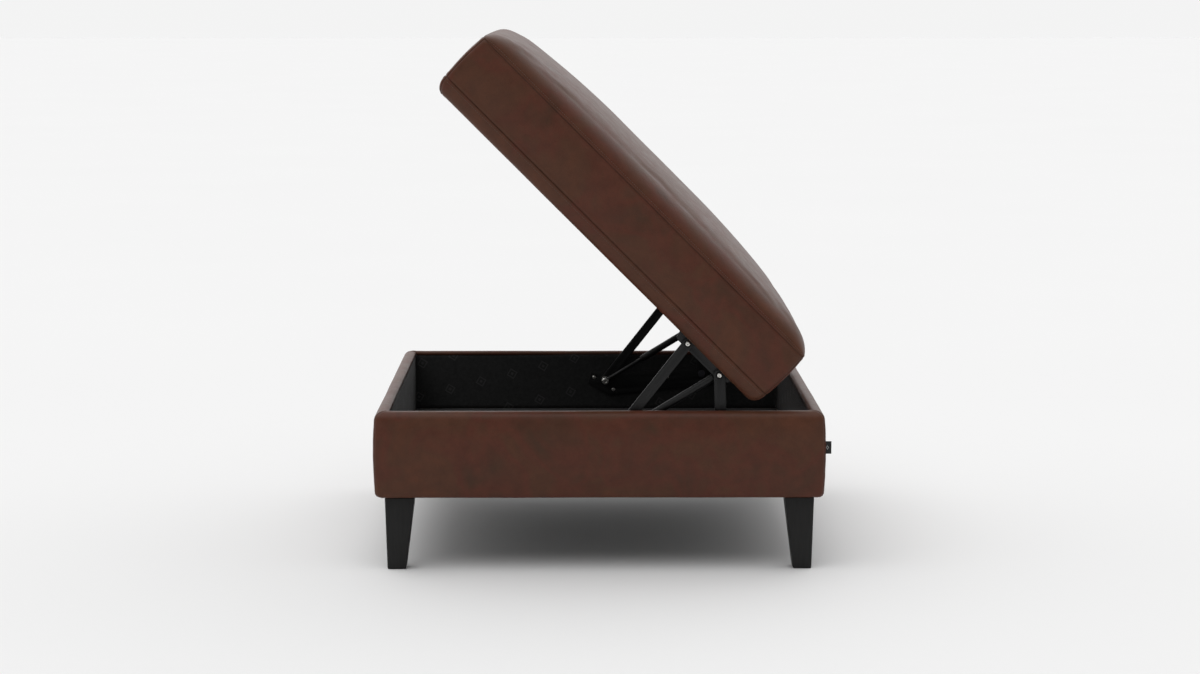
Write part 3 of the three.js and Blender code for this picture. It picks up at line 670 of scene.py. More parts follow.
def nearest_seam(away, seams):
    """Distance of each point of a grid from its nearest seam, and how far along that seam it is."""
    across, along = away["first_row"], away["first_column"]
    nearest, place = np.full(across.shape, 1.0), np.zeros(across.shape)
    for edge in seams:
        position = along if edge.endswith("row") else across
        place = np.where(away[edge] < nearest, position, place)
        nearest = np.minimum(nearest, away[edge])
    return nearest, place


def bell(distance, centre, width):
    return np.exp(-(((distance - centre) / width) ** 2))


def unevenness(grid, distance, place, seed):
    """Puckers that run out from the seams, and slow waves over the padding."""
    waves = np.zeros(distance.shape)
    for index in np.ndindex(distance.shape):
        d = distance[index]
        pucker = noise.noise(Vector((place[index] / PUCKER_PITCH, d / PUCKER_LENGTH, seed)))
        slow = noise.noise(Vector(grid[index]) / WAVE_SIZE + Vector((seed, 0, 0)))
        waves[index] = PUCKER * pucker * math.exp(-d / PUCKER_FADE) + WAVE * slow
    return waves * np.clip(distance / SEAM_CALM, 0, 1)


def leather_panel(coarse, inside, seams, step, seed, stitched=(), wavy=1.0):
    """A coarse grid made fine, with its seams sunk.

    Returns the grid, how much painted shade each point gets along its seams, and its lines of
    stitches."""
    middle_row, middle_column = coarse.shape[0] // 2, coarse.shape[1] // 2
    row_lengths, column_lengths = lengths(coarse[:, middle_column]), lengths(coarse[middle_row])
    rows = spaced(row_lengths[-1], step, "first_row" in seams, "last_row" in seams)
    columns = spaced(column_lengths[-1], step, "first_column" in seams, "last_column" in seams)
    row_at = np.interp(rows, row_lengths, np.arange(len(row_lengths)))
    column_at = np.interp(columns, column_lengths, np.arange(len(column_lengths)))
    fine = catmull(coarse, row_at)
    fine = catmull(fine.swapaxes(0, 1), column_at).swapaxes(0, 1)
    normals = grid_normals(fine, inside)
    away = from_edges(rows, columns)
    distance, place = nearest_seam(away, seams)
    height = -SEAM_DEPTH * bell(distance, 0, SEAM_WIDTH)
    height += RIDGE * bell(distance, RIDGE_LINE, RIDGE_WIDTH)
    height = height + wavy * unevenness(fine, distance, place, seed)
    for edge in stitched:
        height -= STITCH_DIP * bell(away[edge], STITCH_LINE, STITCH_DIP_WIDTH)
    fine = fine + normals * height[..., None]
    lines = [stitch_line(fine, normals, rows, columns, edge) for edge in stitched]
    # Painted shade along the seams, strongest at them.
    fine, dark = turned_in(fine, normals, np.exp(-distance / SEAM_SHADE_WIDTH), seams)
    return fine, dark, lines


def stitch_line(grid, normals, rows, columns, edge):
    """Points and normals of the line of stitches beside one edge, clear of its two corners."""
    if edge.endswith("column"):
        grid, normals, rows, columns = grid.swapaxes(0, 1), normals.swapaxes(0, 1), columns, rows
    at = STITCH_LINE if edge.startswith("first") else rows[-1] - STITCH_LINE
    index = np.interp(at, rows, np.arange(len(rows)))
    line, up = (catmull(a, np.array([index]))[0] for a in (grid, normals))
    keep = (columns >= STITCH_LINE) & (columns <= columns[-1] - STITCH_LINE)
    return line[keep], up[keep]


def turned_in(grid, normals, dark, seams):
    """One more row at each seam, turned down behind the leather, with the painted seam shade of its
    seam's row.
    """
    for edge in seams:
        axis = 0 if edge.endswith("row") else 1
        end = 0 if edge.startswith("first") else -1
        row, up, shade = (np.take(a, [end], axis) for a in (grid, normals, dark))
        parts = (row - up * TURN_IN, grid), (up, normals), (shade, dark)
        grid, normals, dark = (np.concatenate(p if end == 0 else p[::-1], axis) for p in parts)
    return grid, dark


def leather_piece(name, panels, inside, body, nodes):
    """One leather piece of one or more fine panels, as thick as the hide."""
    solids = [(grid.reshape(-1, 3), grid_faces(*grid.shape[:2])) for grid, _ in panels]
    dark = np.concatenate([seam.ravel() for _, seam in panels])
    piece = new_piece(name, *joined(solids))
    outward(piece, inside)
    # The painted seam shade, for the leather material.
    attribute = piece.data.attributes.new("seam", "FLOAT", "POINT")
    attribute.data.foreach_set("value", dark.astype(np.float32))
    piece.data.shade_smooth()
    hide = piece.modifiers.new("hide", "SOLIDIFY")
    hide.thickness = HIDE
    hide.offset = -1
    finish_piece(piece, LEATHER, body, nodes)


# ---------- stitches ----------
STITCH_PITCH, STITCH_SIZE, THREAD_RADIUS = 4.4 * MM, 3.3 * MM, 0.42 * MM
STITCH_SHARES = np.array([-1, -0.65, 0, 0.65, 1]) / 2  # where its rings are along a stitch
STITCH_LIFT = np.array([-0.5, 0.2, 0.34, 0.2, -0.5]) * MM
STITCH_GIRTH = np.array([0.6, 0.95, 1, 0.95, 0.6]) * THREAD_RADIUS
STITCH_SIDES = 6


def add_stitching(name, lines, body):
    """Short arched stitches along lines of (points, normals)."""
    turns = np.linspace(0, 2 * math.pi, STITCH_SIDES, endpoint=False)
    faces = tube_faces(len(STITCH_SHARES), STITCH_SIDES)
    solids = []
    for points, normals in lines:
        along = lengths(points)
        count = int(along[-1] / STITCH_PITCH)
        for centre in (np.arange(count) + 0.5) * along[-1] / count:
            at, ahead = (np.array([np.interp(centre + e, along, points[:, k]) for k in range(3)])
                         for e in (0, MM))
            up = np.array([np.interp(centre, along, normals[:, k]) for k in range(3)])
            forward = ahead - at
            forward /= np.linalg.norm(forward)
            up = up - forward * (up @ forward)
            up /= np.linalg.norm(up)
            side = np.cross(forward, up)
            circle = np.outer(np.cos(turns), up) + np.outer(np.sin(turns), side)
            rings = [at + forward * s * STITCH_SIZE + up * h + r * circle
                     for s, h, r in zip(STITCH_SHARES, STITCH_LIFT, STITCH_GIRTH)]
            solids.append((np.concatenate(rings), faces))
    solid_piece(name, solids, THREAD, body, angle=80)


# ---------- lid cushion ----------
CELL = 10 * MM  # between the points of the simulated cover
LID_STEP, BASE_STEP = 6 * MM, 5.5 * MM  # between the points of the finished leather
LID_PRESSURE, BASE_PRESSURE = 0.7, 1.2
SEAM_HOLD = 0.6  # how firmly a seam keeps its place while the cover is inflated
CORNER = 14 * MM
SHOULDER = 60 * MM  # how far in from the upper seam the rounded shoulder reaches
SHOULDER_RISE = 30 * MM
CROWN_REACH = 300 * MM  # the top is level further in than this
START_INSIDE = 3.0 * MM  # the cover starts this far inside its inflated shape
BAND_BULGE = LID_HALF - LID_SEAM
UNDER_FLAT = 390 * MM  # half width where the under band turns level
UNDER_ROWS = ((383 * MM, 1.2 * MM), (376 * MM, BOARD_UNDER - 0.7 * MM))  # half width and height


def rise(inset):
    """Height of the top at a distance in from a seam, as a share: (shoulder, slow crown)."""
    share = np.clip(inset / SHOULDER, 0, 1)
    crown = np.sin(np.clip(inset / CROWN_REACH, 0, 1) * math.pi / 2)
    return np.sqrt(1 - (1 - share) ** 2), crown


def lid_shares():
    """Where the grid lines cross the lid, from -1 to 1, evenly spaced over the rounded shoulder."""
    inset = np.linspace(0, LID_SEAM, 4000) ** 2 / LID_SEAM
    shoulder, crown = rise(inset)
    height = SHOULDER_RISE * shoulder + (LID_TOP - UPPER_SEAM - SHOULDER_RISE) * crown
    along = lengths(np.column_stack([inset, height]))
    count = round(along[-1] / CELL)
    insets = np.interp(np.linspace(0, along[-1], count + 1), along, inset)
    first = insets / LID_SEAM - 1
    return np.concatenate([first, -first[-2::-1]])


def crowned(shares, half, base, inside):
    """The crowned top over a square: a grid of points, a distance inside the leather's own top."""
    x, y = np.meshgrid(shares, shares, indexing="ij")
    shoulder, crown = zip(*(rise(LID_SEAM * (1 - np.abs(a))) for a in (x, y)))
    crown_rise = LID_TOP - UPPER_SEAM - SHOULDER_RISE - inside
    height = base + SHOULDER_RISE * shoulder[0] * shoulder[1] + crown_rise * crown[0] * crown[1]
    plan = rounded(np.stack([x, y], -1) * half, half, CORNER)
    return np.concatenate([plan, height[..., None]], -1)


def lid_points():
    """The cover's starting shape in the lid's frame: the top as a square grid, then loops down the
    side bands and round under the edge."""
    shares = lid_shares()
    top = crowned(shares, LID_SEAM, UPPER_SEAM, START_INSIDE)
    band_rows = round((UPPER_SEAM - LOWER_SEAM) / CELL)
    rows = []
    for t in np.arange(1, band_rows + 1) / band_rows:
        half = LID_SEAM + (BAND_BULGE - START_INSIDE) * 4 * t * (1 - t)
        rows.append((half, UPPER_SEAM + (LOWER_SEAM - UPPER_SEAM) * t))
    for angle in np.linspace(0, math.pi / 2, 6)[1:]:
        half = UNDER_FLAT + (LID_SEAM - UNDER_FLAT) * math.cos(angle)
        rows.append((half, LOWER_SEAM * (1 - math.sin(angle))))
    loops = [square_loop(shares, half, z, CORNER) for half, z in (*rows, *UNDER_ROWS)]
    return top, np.array(loops), band_rows


def boundary(count):
    """Flat indices of a square grid's edge, in the order of square_loop."""
    index = np.arange(count * count).reshape(count, count)
    walls = index[:-1, 0], index[-1, :-1], index[:0:-1, -1], index[0, :0:-1]
    return np.concatenate(walls)


def simulated_lid():
    """The inflated cover in the lid's frame: the top, and the loops from the upper seam down."""
    top, loops, band_rows = lid_points()
    count = len(top)
    points = np.concatenate([top.reshape(-1, 3), loops.reshape(-1, 3)])
    below = count * count + np.arange(loops.size // 3).reshape(loops.shape[:2])
    index = np.concatenate([[boundary(count)], below])
    faces = np.concatenate([grid_faces(count, count), ring_faces(index)])[:, ::-1]
    pins, seams = np.zeros(len(points)), np.zeros(len(points))
    pins[index[-4:]] = 1
    pins[index[-5]] = 0.5
    for row in (0, band_rows):
        seams[index[row]] = 1
        pins[index[row]] = SEAM_HOLD
    corner_columns = np.arange(4) * (count - 1)
    seams[index[1:, corner_columns]] = 1
    points = inflated(points, faces, pins, seams, LID_PRESSURE)
    return points[:count * count].reshape(count, count, 3), points[index], band_rows


def in_place(points):
    """Points of the lid's frame in the row frame."""
    turn = np.array(LID_FRAME)
    return points @ turn[:3, :3].T + turn[:3, 3]


def wall_part(loops, number):
    """One wall's columns of closed loops, with the corners at both ends."""
    per_wall = loops.shape[1] // 4
    closed = np.concatenate([loops, loops[:, :1]], axis=1)
    return closed[:, number * per_wall:(number + 1) * per_wall + 1]


def make_lid_cover():
    top, loops, band_rows = simulated_lid()
    top, loops = in_place(top), in_place(loops)
    middle = tuple(LID_FRAME @ Vector((0, 0, (LOWER_SEAM + UPPER_SEAM) / 2)))

    *panel, lines = leather_panel(top, middle, EDGES, LID_STEP, seed=1.5, stitched=EDGES)
    leather_piece("lid_leather_top", [panel], middle, "lid", ["lid_top_panel"])
    under = []
    for i, wall in enumerate(WALLS):
        part = wall_part(loops, i)
        *panel, _ = leather_panel(part[:band_rows + 1], middle, EDGES, LID_STEP, seed=10.5 + i)
        nodes = [f"lid_side_band_{wall}"]
        leather_piece(f"lid_leather_{wall}", [panel], middle, "lid", nodes)
        seams = ("first_row", "first_column", "last_column")
        *panel, more = leather_panel(part[band_rows:], middle, seams, LID_STEP, seed=20.5 + i,
                                     stitched=("first_row",), wavy=0.5)
        under.append(panel)
        lines += more
    leather_piece("lid_leather_under", under, middle, "lid", ["lid_under_band"])
    add_stitching("lid_stitching", lines, "lid")


# ---------- base cover ----------
RIM_RADIUS = 15 * MM
RIM_INNER_RADIUS = 6 * MM
HEM_RADIUS = 10 * MM
BASE_CORNER = 8 * MM
BASE_INNER_CORNER = 4 * MM  # of the loops less than OUTER_FROM from the middle
OUTER_FROM = 390 * MM
FACE_BULGE = 2.0 * MM
COVER_INSIDE = 1.0 * MM  # the cover starts this far inside its inflated shape
COVER_TUCK = 1.5 * MM  # how far the cover runs down behind the lining
RIM_HOLD, CORNER_HOLD = 0.35, 0.4  # as SEAM_HOLD
WALL_MIDDLE = HALF - 14 * MM  # half width of the middle of a wall


def arc(centre, radius, start, end, steps):
    """Points of an arc in (half width, height); angles in degrees."""
    return [(centre[0] + radius * math.cos(a), centre[1] + radius * math.sin(a))
            for a in np.radians(np.linspace(start, end, steps))]


def base_profile():
    """The wall's cross-section from the lining up over the rim, down the face and under the hem."""
    face = HALF - COVER_INSIDE
    top = RIM_Z - COVER_INSIDE
    rows = [(INNER, LINING_TOP - COVER_TUCK)]
    rows += arc((INNER + RIM_INNER_RADIUS, top - RIM_INNER_RADIUS), RIM_INNER_RADIUS, 180, 90, 4)
    rows += arc((face - RIM_RADIUS, top - RIM_RADIUS), RIM_RADIUS, 90, 0, 5)
    low = HEM_Z + HEM_RADIUS
    rows += [(face + FACE_BULGE * math.sin(math.pi * t), low * t + (top - RIM_RADIUS) * (1 - t))
             for t in np.linspace(0, 1, 15)[1:-1]]
    rows += arc((face - HEM_RADIUS, low), HEM_RADIUS, 0, -90, 4)
    rows += [((face - HEM_RADIUS) * (1 - t) + HEM_END * t, HEM_Z) for t in (0.35, 0.7, 1.0)]
    return rows


def make_base_cover():
    shares = np.linspace(-1, 1, 81)
    corners = [(half, z, BASE_CORNER if half > OUTER_FROM else BASE_INNER_CORNER)
               for half, z in base_profile()]
    loops = np.array([square_loop(shares, *row) for row in corners])
    rows, columns = loops.shape[:2]
    index = np.arange(rows * columns).reshape(rows, columns)
    pins, seams = np.zeros(rows * columns), np.zeros(rows * columns)
    pins[index[:2]] = 1
    pins[index[-4:]] = 1
    pins[index[4:6]] = RIM_HOLD
    corner_columns = np.arange(4) * (columns // 4)
    pins[index[6:-4, corner_columns]] = CORNER_HOLD
    seams[index[:, corner_columns]] = 1
    points = inflated(loops.reshape(-1, 3), ring_faces(index), pins, seams, BASE_PRESSURE)
    loops = points.reshape(rows, columns, 3)
    for i, wall in enumerate(WALLS):
        turn = Matrix.Rotation(math.radians(90 * (i - 1)), 3, "Z")
        inside = tuple(turn @ Vector((WALL_MIDDLE, 0, (HEM_Z + RIM_Z) / 2)))
        seams = ("first_column", "last_column")
        *panel, _ = leather_panel(wall_part(loops, i), inside, seams, BASE_STEP, seed=30.5 + i)
        nodes = [f"base_cover_{wall}"]
        leather_piece(f"base_leather_{wall}", [panel], inside, "base", nodes)


# ---------- cloth sheets ----------
UPWARDS = np.array((0, 0, 1.0))
WALL_CLOTH, FLOOR_CLOTH, DUST_CLOTH, RIBBON_THICK = 0.6 * MM, 0.5 * MM, 0.2 * MM, 0.35 * MM
WALL_CLOTH_LOW, WALL_CLOTH_HIGH = 0.7 * MM, 0.2 * MM  # past the storage floor and the lining's top
WALL_CLOTH_OUT = 0.5 * MM  # past the CAD lining's face
FLOOR_CLOTH_IN, FLOOR_CLOTH_DOWN = 0.4 * MM, 0.6 * MM
DUST_OVERLAP = 6 * MM  # of the base's dust cover under the hem
BASE_DUST_DOWN, LID_DUST_UP = 0.2 * MM, 0.15 * MM
LINING_CORNER = 5 * MM
ON_WALL = 0.985  # a point of the lining nearer the middle than this share is round a corner
# Ripples are (amount, size, seed).
WALL_RIPPLE, FLOOR_RIPPLE = (0.55 * MM, 70 * MM, 3.5), (0.6 * MM, 90 * MM, 8.5)
BASE_DUST_RIPPLE, LID_DUST_RIPPLE = (0.15 * MM, 50 * MM, 2.5), (0.12 * MM, 50 * MM, 6.5)
LID_DUST_HALF = 379 * MM
STAPLE_PITCH = 36 * MM
BASE_STAPLES, LID_STAPLES = 8, 10  # on each side of the middle of an edge
BASE_STAPLE_LINE, LID_STAPLE_LINE = HEM_END + 1 * MM, 375 * MM
BASE_STAPLE_DOWN, LID_STAPLE_DOWN = 0.35 * MM, 0.05 * MM
STAPLE_LENGTH, STAPLE_WIDTH, STAPLE_HEIGHT = 10 * MM, 0.9 * MM, 0.5 * MM
STAPLE_RINGS = ((-0.5, 0.0), (-0.42, 1.0), (0.42, 1.0), (0.5, 0.0))  # shares of length and height


def cloth_sheet(name, grid, uv, look, body, node, thickness, inside):
    """A thin sheet with a UV map in metres."""
    piece = new_piece(name, grid.reshape(-1, 3), grid_faces(*grid.shape[:2]))
    outward(piece, inside)
    layer = piece.data.uv_layers.new(name="cloth")
    flat = uv.reshape(-1, 2)
    for loop in piece.data.loops:
        layer.data[loop.index].uv = flat[loop.vertex_index]
    piece.data.shade_smooth()
    cloth = piece.modifiers.new("cloth", "SOLIDIFY")
    cloth.thickness = thickness
    cloth.offset = -1
    return finish_piece(piece, look, body, [node])


def rippled(points, directions, amount, size, seed):
    """Points moved along directions by slow noise."""
    waves = [noise.noise(Vector(p) / size + Vector((0, 0, seed))) for p in points.reshape(-1, 3)]
    return points + directions * (amount * np.array(waves).reshape(*points.shape[:2], 1))


def level_grid(edge, z, ripple, count=81):
    """A level square of points, rippled."""
    line = np.linspace(-edge, edge, count)
    x, y = np.meshgrid(line, line, indexing="ij")
    return rippled(np.stack([x, y, np.full_like(x, z)], -1), UPWARDS, *ripple)


def make_lining():
    shares = np.linspace(-1, 1, 73)
    heights = np.linspace(FLOOR_Z - WALL_CLOTH_LOW, LINING_TOP + WALL_CLOTH_HIGH, 15)
    half = INNER + WALL_CLOTH_OUT
    loops = np.array([square_loop(shares, half, z, LINING_CORNER) for z in heights])
    outwards = np.sign(loops) * (np.abs(loops) > half * ON_WALL) * (1, 1, 0)
    loops = rippled(loops, outwards, *WALL_RIPPLE)
    closed = np.concatenate([loops, loops[:, :1]], axis=1)
    around = lengths(closed[0])
    uv = np.stack(np.meshgrid(around, heights - heights[0]), -1)
    walls = cloth_sheet("lining_wall_cloth", closed, uv, LINING, "base", "lining_walls",
                        WALL_CLOTH, (0, 0, 0))
    walls.data.flip_normals()

    edge = INNER - FLOOR_CLOTH_IN
    grid = level_grid(edge, FLOOR_Z - FLOOR_CLOTH_DOWN, FLOOR_RIPPLE, 97)
    sheet = cloth_sheet("lining_floor_cloth", grid, grid[..., :2], LINING, "base", "lining_floor",
                        FLOOR_CLOTH, (0, 0, -1))


def make_dust_covers():
    edge = HEM_END + DUST_OVERLAP
    grid = level_grid(edge, HEM_Z - BASE_DUST_DOWN, BASE_DUST_RIPPLE)
    below = cloth_sheet("base_dust_cloth", grid, grid[..., :2], CAMBRIC, "base",
                        "bottom_dust_cover", DUST_CLOTH, (0, 0, 1))

    edge = LID_DUST_HALF
    grid = level_grid(edge, DUST_UNDER + LID_DUST_UP, LID_DUST_RIPPLE)
    beneath = cloth_sheet("lid_dust_cloth", in_place(grid), grid[..., :2], CAMBRIC, "lid",
                          "lid_dust_cover", DUST_CLOTH, tuple(LID_FRAME @ Vector((0, 0, 0.1))))


def staple_solid(centre, along, down):
    """The crown of one staple: a flat wire with rounded ends."""
    side = along.cross(down) * STAPLE_WIDTH / 2
    under = down * STAPLE_HEIGHT
    points = []
    for share, deep in STAPLE_RINGS:
        base = centre + along * share * STAPLE_LENGTH + under * deep
        points += [base + side, base - side, base - side - under, base + side - under]
    return points, tube_faces(len(STAPLE_RINGS), 4)


def make_staples():
    """Rows of staples along the edges of both dust covers."""
    down = Vector((0, 0, -1))
    for name, body, frame_turn, half, z, most in (
            ("base_staples", "base", Matrix.Identity(4), BASE_STAPLE_LINE,
             HEM_Z - BASE_STAPLE_DOWN, BASE_STAPLES),
            ("lid_staples", "lid", LID_FRAME, LID_STAPLE_LINE,
             DUST_UNDER - LID_STAPLE_DOWN, LID_STAPLES)):
        turn = frame_turn.to_3x3()
        staples = []
        for quarter in range(4):
            spin = Matrix.Rotation(quarter * math.pi / 2, 3, "Z")
            along = turn @ spin @ Vector((0, 1, 0))
            for k in range(-most, most + 1):
                centre = frame_turn @ (spin @ Vector((half, k * STAPLE_PITCH, z)))
                staples.append(staple_solid(centre, along, turn @ down))
        solid_piece(name, staples, ZINC, body)


# ---------- padding ----------
FOAM_UNDER_FACE, FOAM_UNDER_RIM = 5.6 * MM, 4.6 * MM  # how far the foam is inside the leather
CORE_INSIDE = 6 * MM
CORE_FOOT = 0.995  # the core's foot, as a share of its width
GAP = 0.3 * MM  # between foam and board
FOAM_FOOT_INNER, FOAM_FOOT_OUTER, FOAM_BEND = 12 * MM, 14 * MM, 30 * MM  # above the hem
ROLL_FOOT = ((384 * MM, BOARD_UNDER - GAP), (385 * MM, 3.4 * MM))  # half width and height
ROLL_INSIDE, ROLL_FALL, ROLL_TURN = 3 * MM, 26 * MM, 0.35


def padded_ring(name, profile, place, corner, body, node):
    """Foam carried round the four walls: a closed profile of (half width, height)."""
    shares = np.linspace(-1, 1, 49)
    loops = np.array([square_loop(shares, half, z, corner) for half, z in profile])
    index = np.arange(loops.size // 3).reshape(loops.shape[:2])
    faces = ring_faces(np.concatenate([index, index[:1]])).tolist()
    piece = solid_piece(name, [(place(loops.reshape(-1, 3)), faces)], FOAM, body, [node], angle=60)


def make_padding():
    outer, top = HALF - FOAM_UNDER_FACE, RIM_Z - FOAM_UNDER_RIM
    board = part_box("wall_board_back")[1]
    over, inner = board.z + GAP, INNER + RIM_INNER_RADIUS + 1 * MM
    wall = [(board.x + GAP, HEM_Z + FOAM_FOOT_INNER), (outer, HEM_Z + FOAM_FOOT_OUTER)]
    wall += [(outer, z) for z in np.linspace(HEM_Z + FOAM_BEND, top - RIM_RADIUS - 8 * MM, 5)]
    wall += arc((outer - RIM_RADIUS, top - RIM_RADIUS), RIM_RADIUS, 0, 90, 7)
    wall += [(inner, top), (inner, over), (board.x + GAP, over)]
    padded_ring("wall_padding", wall, lambda p: p, BASE_CORNER + 2 * MM, "base", "wall_foam")

    start, reach = BOARD_HIGH[0] + GAP, LID_SEAM - UNDER_FLAT - ROLL_INSIDE
    roll = [(start, BOARD_UNDER - GAP), *ROLL_FOOT]
    roll += [(UNDER_FLAT + reach * math.cos(a), LOWER_SEAM - ROLL_FALL * math.sin(a))
             for a in np.linspace(math.pi / 2, ROLL_TURN, 6)]
    roll += [(start, BOARD_HIGH[2] - GAP)]
    padded_ring("lid_roll_padding", roll, in_place, CORNER, "lid", "lid_edge_roll")
    make_lid_core(BOARD_HIGH[2] + GAP)


def make_lid_core(low):
    """The lid's foam block: flat under, crowned on top, a little inside the leather."""
    shares = lid_shares()[::2]
    half = LID_SEAM - CORE_INSIDE
    top = crowned(shares, half, UPPER_SEAM - CORE_INSIDE, CORE_INSIDE)
    flat = top * (CORE_FOOT, CORE_FOOT, 0) + (0, 0, low)
    levels = np.linspace(UPPER_SEAM - CORE_INSIDE, low + 3 * MM, 8)[1:]
    loops = np.array([square_loop(shares, half, z, CORNER) for z in levels])
    points = np.concatenate([part.reshape(-1, 3) for part in (top, flat, loops)])
    count = len(shares)
    edge = boundary(count)
    sides = 2 * count * count + np.arange(loops.size // 3).reshape(loops.shape[:2])
    faces = np.concatenate([grid_faces(count, count), grid_faces(count, count) + count * count,
                            ring_faces(np.concatenate([[edge], sides, [edge + count * count]]))])
    core = solid_piece("lid_core_padding", [(in_place(points), faces.tolist())], FOAM, "lid",
                       ["lid_foam"], angle=60)


# ---------- label tab ----------
TAB_SEWN_IN = 2 * MM
TAB_INSIDE = 0.2 * MM  # half the ribbon's thickness, about
TAB_BOW = 0.25 * MM


def make_label_tab():
    """A ribbon folded in two over the corner seam, sewn in at its open end."""
    low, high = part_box("label_tab")
    root = low.x - TAB_SEWN_IN
    fold = (high.y - low.y) / 2 - TAB_INSIDE
    middle = (low.y + high.y) / 2
    start = high.x - fold
    path = [(x, middle - fold) for x in np.linspace(root, start, 6)]
    path += [(start + fold * math.sin(a), middle - fold * math.cos(a))
             for a in np.linspace(0.3, math.pi - 0.3, 7)]
    path += [(x, middle + fold) for x in np.linspace(start, root, 6)]
    heights = np.linspace(low.z, high.z, 14)
    bow = TAB_BOW * np.sin(np.linspace(0, math.pi, 14))
    grid = np.array([[(x, y + b, z) for z, b in zip(heights, bow)] for x, y in path])
    along = lengths(np.array(path))
    uv = np.stack(np.meshgrid(along, heights - heights[0], indexing="ij"), -1)
    tab = cloth_sheet("label_ribbon", grid, uv, RIBBON, "base", "label_tab", RIBBON_THICK,
                      (start - 3 * MM, middle, (low.z + high.z) / 2))


# ---------- wood and legs ----------
WALL_BOARD_EDGE, WOOD_EDGE, LEG_EDGE = 3.0 * MM, 0.8 * MM, 3.0 * MM  # how much is rounded off
SHORT_WOOD_EDGE, SHORT_LEG_EDGE = 6 * MM, 20 * MM  # shorter edges stay as they are
THREAD_PITCH = 1.25 * MM
THREAD_DEPTH = 0.6 * MM
BOLT_CHAMFER = 1 * MM


def make_wood():
    for node in frame["nodes"]:
        if node.startswith("wall_board"):
            refined(node, TIMBER, WALL_BOARD_EDGE, segments=3, shortest=SHORT_WOOD_EDGE)
        elif node.startswith(("corner_block", "floor_cleat", "floor_panel", "lid_board")):
            refined(node, TIMBER, WOOD_EDGE, shortest=SHORT_WOOD_EDGE)
        elif node.startswith("leg_bolt"):
            make_leg_bolt(node)
        elif node.startswith("leg_"):
            refined(node, LACQUER, LEG_EDGE, segments=4, shortest=SHORT_LEG_EDGE)


def make_leg_bolt(node):
    """A hanger bolt: machine thread all the way, with chamfered ends."""
    low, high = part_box(node)
    radius, length = (high.x - low.x) / 2, high.z - low.z
    profile = [(0, 0), (0, radius - BOLT_CHAMFER)]
    for k in range(int((length - 2 * BOLT_CHAMFER) / THREAD_PITCH)):
        start = BOLT_CHAMFER + k * THREAD_PITCH
        profile += [(start, radius - THREAD_DEPTH), (start + THREAD_PITCH / 2, radius)]
    profile += [(length, radius - BOLT_CHAMFER), (length, 0)]
    centre = ((low.x + high.x) / 2, (low.y + high.y) / 2, low.z)
    thread = lathe(profile, centre, (0, 0, 1), segments=24)
    solid_piece(node + "_detail", [thread], ZINC, "base", [node])


# ---------- hinge ----------
# Millimetres. A profile is of (distance along the axis, radius), and a depth is from the lining
# towards the middle of the box.
RIVET = ((0.9, 0), (0.8, 1.1), (0.2, 1.7), (0.0, 2.3), (0.2, 3.2), (0.8, 4.2), (1.7, 4.6),
         (2.3, 4.7), (2.3, 4.0))  # a domed head towards the wall, with its shank's dimple
RIVET_DEPTH = 4.4
FRONT_RIVET_END, REAR_RIVET_END = 10.9, 14.7
WASHER_DEPTH, WASHER_THICK, WASHER_INNER, WASHER_OUTER = 6.0, 0.95, 4.1, 6.6
FRONT_BOLT = ((0, 0), (0, 5), (10.5, 5), (10.7, 8), (19.0, 8), (19.1, 5), (27.7, 5), (27.7, 7.4),
              (29.3, 7.4), (30.6, 5.6), (30.9, 3.4), (30.2, 2.4), (30.2, 0))
REAR_CAP = ((0, 0), (0, 5), (10.7, 5), (10.7, 7.4), (13.0, 7.4), (13.8, 6.2), (14.0, 0))
BOLT_DEPTH = 0.6
STRUT_ROD = ((5.6, 0), (5.6, 4.6), (13, 4.6), (14, 4.0), (204, 4.0), (205, 3.4), (205, 0))
STRUT_TUBE = ((213, 0), (213, 4.3), (88, 4.3), (88, 5.8), (89, 6.8), (93, 6.8), (94, 6.3),
              (95, 7.0))
STRUT_TUBE_END = ((13, 7.0), (11.5, 5.8), (11, 4.6), (5.6, 4.6), (5.6, 0))  # from the upper pivot
STRUT_PIN = ((0, 0), (0, 6), (4.7, 6), (4.8, 4), (13.2, 4), (13.2, 6), (14.6, 6), (15.4, 4.6),
             (15.5, 0))
STRUT_DEPTH, PIN_DEPTH, EYE_DEPTH = 24, 15, 20
EYE_WIDTH, EYE_RADIUS, ROD_EYE_BORE, TUBE_EYE_BORE = 8, 7.5, 5.3, 4.3
SCREW_RADIUS, SCREW_HEIGHT, SCREW_SIDES = 3.9, 2.0, 32
SCREW_SHANK, SCREW_SHANK_RADIUS = 3, 1.9
SCREW_HEAD = ((0, 1), (0.45, 1), (0.85, 0.75), (1, 0.5), (1, 0.42), (0.35, 0.2))  # shares of both
SCREW_TURN = 0.4  # radians that the cross recess is turned by
RECESS_TOP, RECESS_FLOOR = 0.97, 0.3  # shares of the height
RECESS_START, RECESS_REACH, RECESS_HALF = 0.42, 0.28, 0.16  # shares of the radius
ROUNDING = {"washer": 0.1, "eye": 1.2, "strut": 0.4, "pin": 0.3, "bolt": 0.4, "cap": 0.6}
STEEL_EDGE = 0.7
PLATE_SCREWS = ((-5, 239), (36, 213), (150, 240), (262, 240))  # x and z
PLATE_FACE = 3.3  # depth of the hinge plate's inner face
RAIL_SCREW_DEPTH = 33
RAIL_SCREW_INSET = 12  # the end screws from the ends of the rail
RAIL_FLANGE = 3


def y_axis(side):
    """From the wall towards the middle of the box."""
    return (0, -side, 0)


def depth_at(side, depth, x, z):
    return (x, side * (INNER - depth * MM), z)


def in_metres(profile, corner=0, closed=False):
    """A profile in metres, with its corners rounded."""
    profile = [(a * MM, r * MM) for a, r in profile]
    return softened(profile, corner * MM, closed) if corner else profile


def rivet_solid(side, x, z, end):
    """A domed tubular rivet whose shank ends at a depth."""
    length = end - RIVET_DEPTH
    profile = (*RIVET, (length - 0.3, 4.0), (length, 3.5), (length, 0))
    return lathe(in_metres(profile), depth_at(side, RIVET_DEPTH, x, z), y_axis(side))


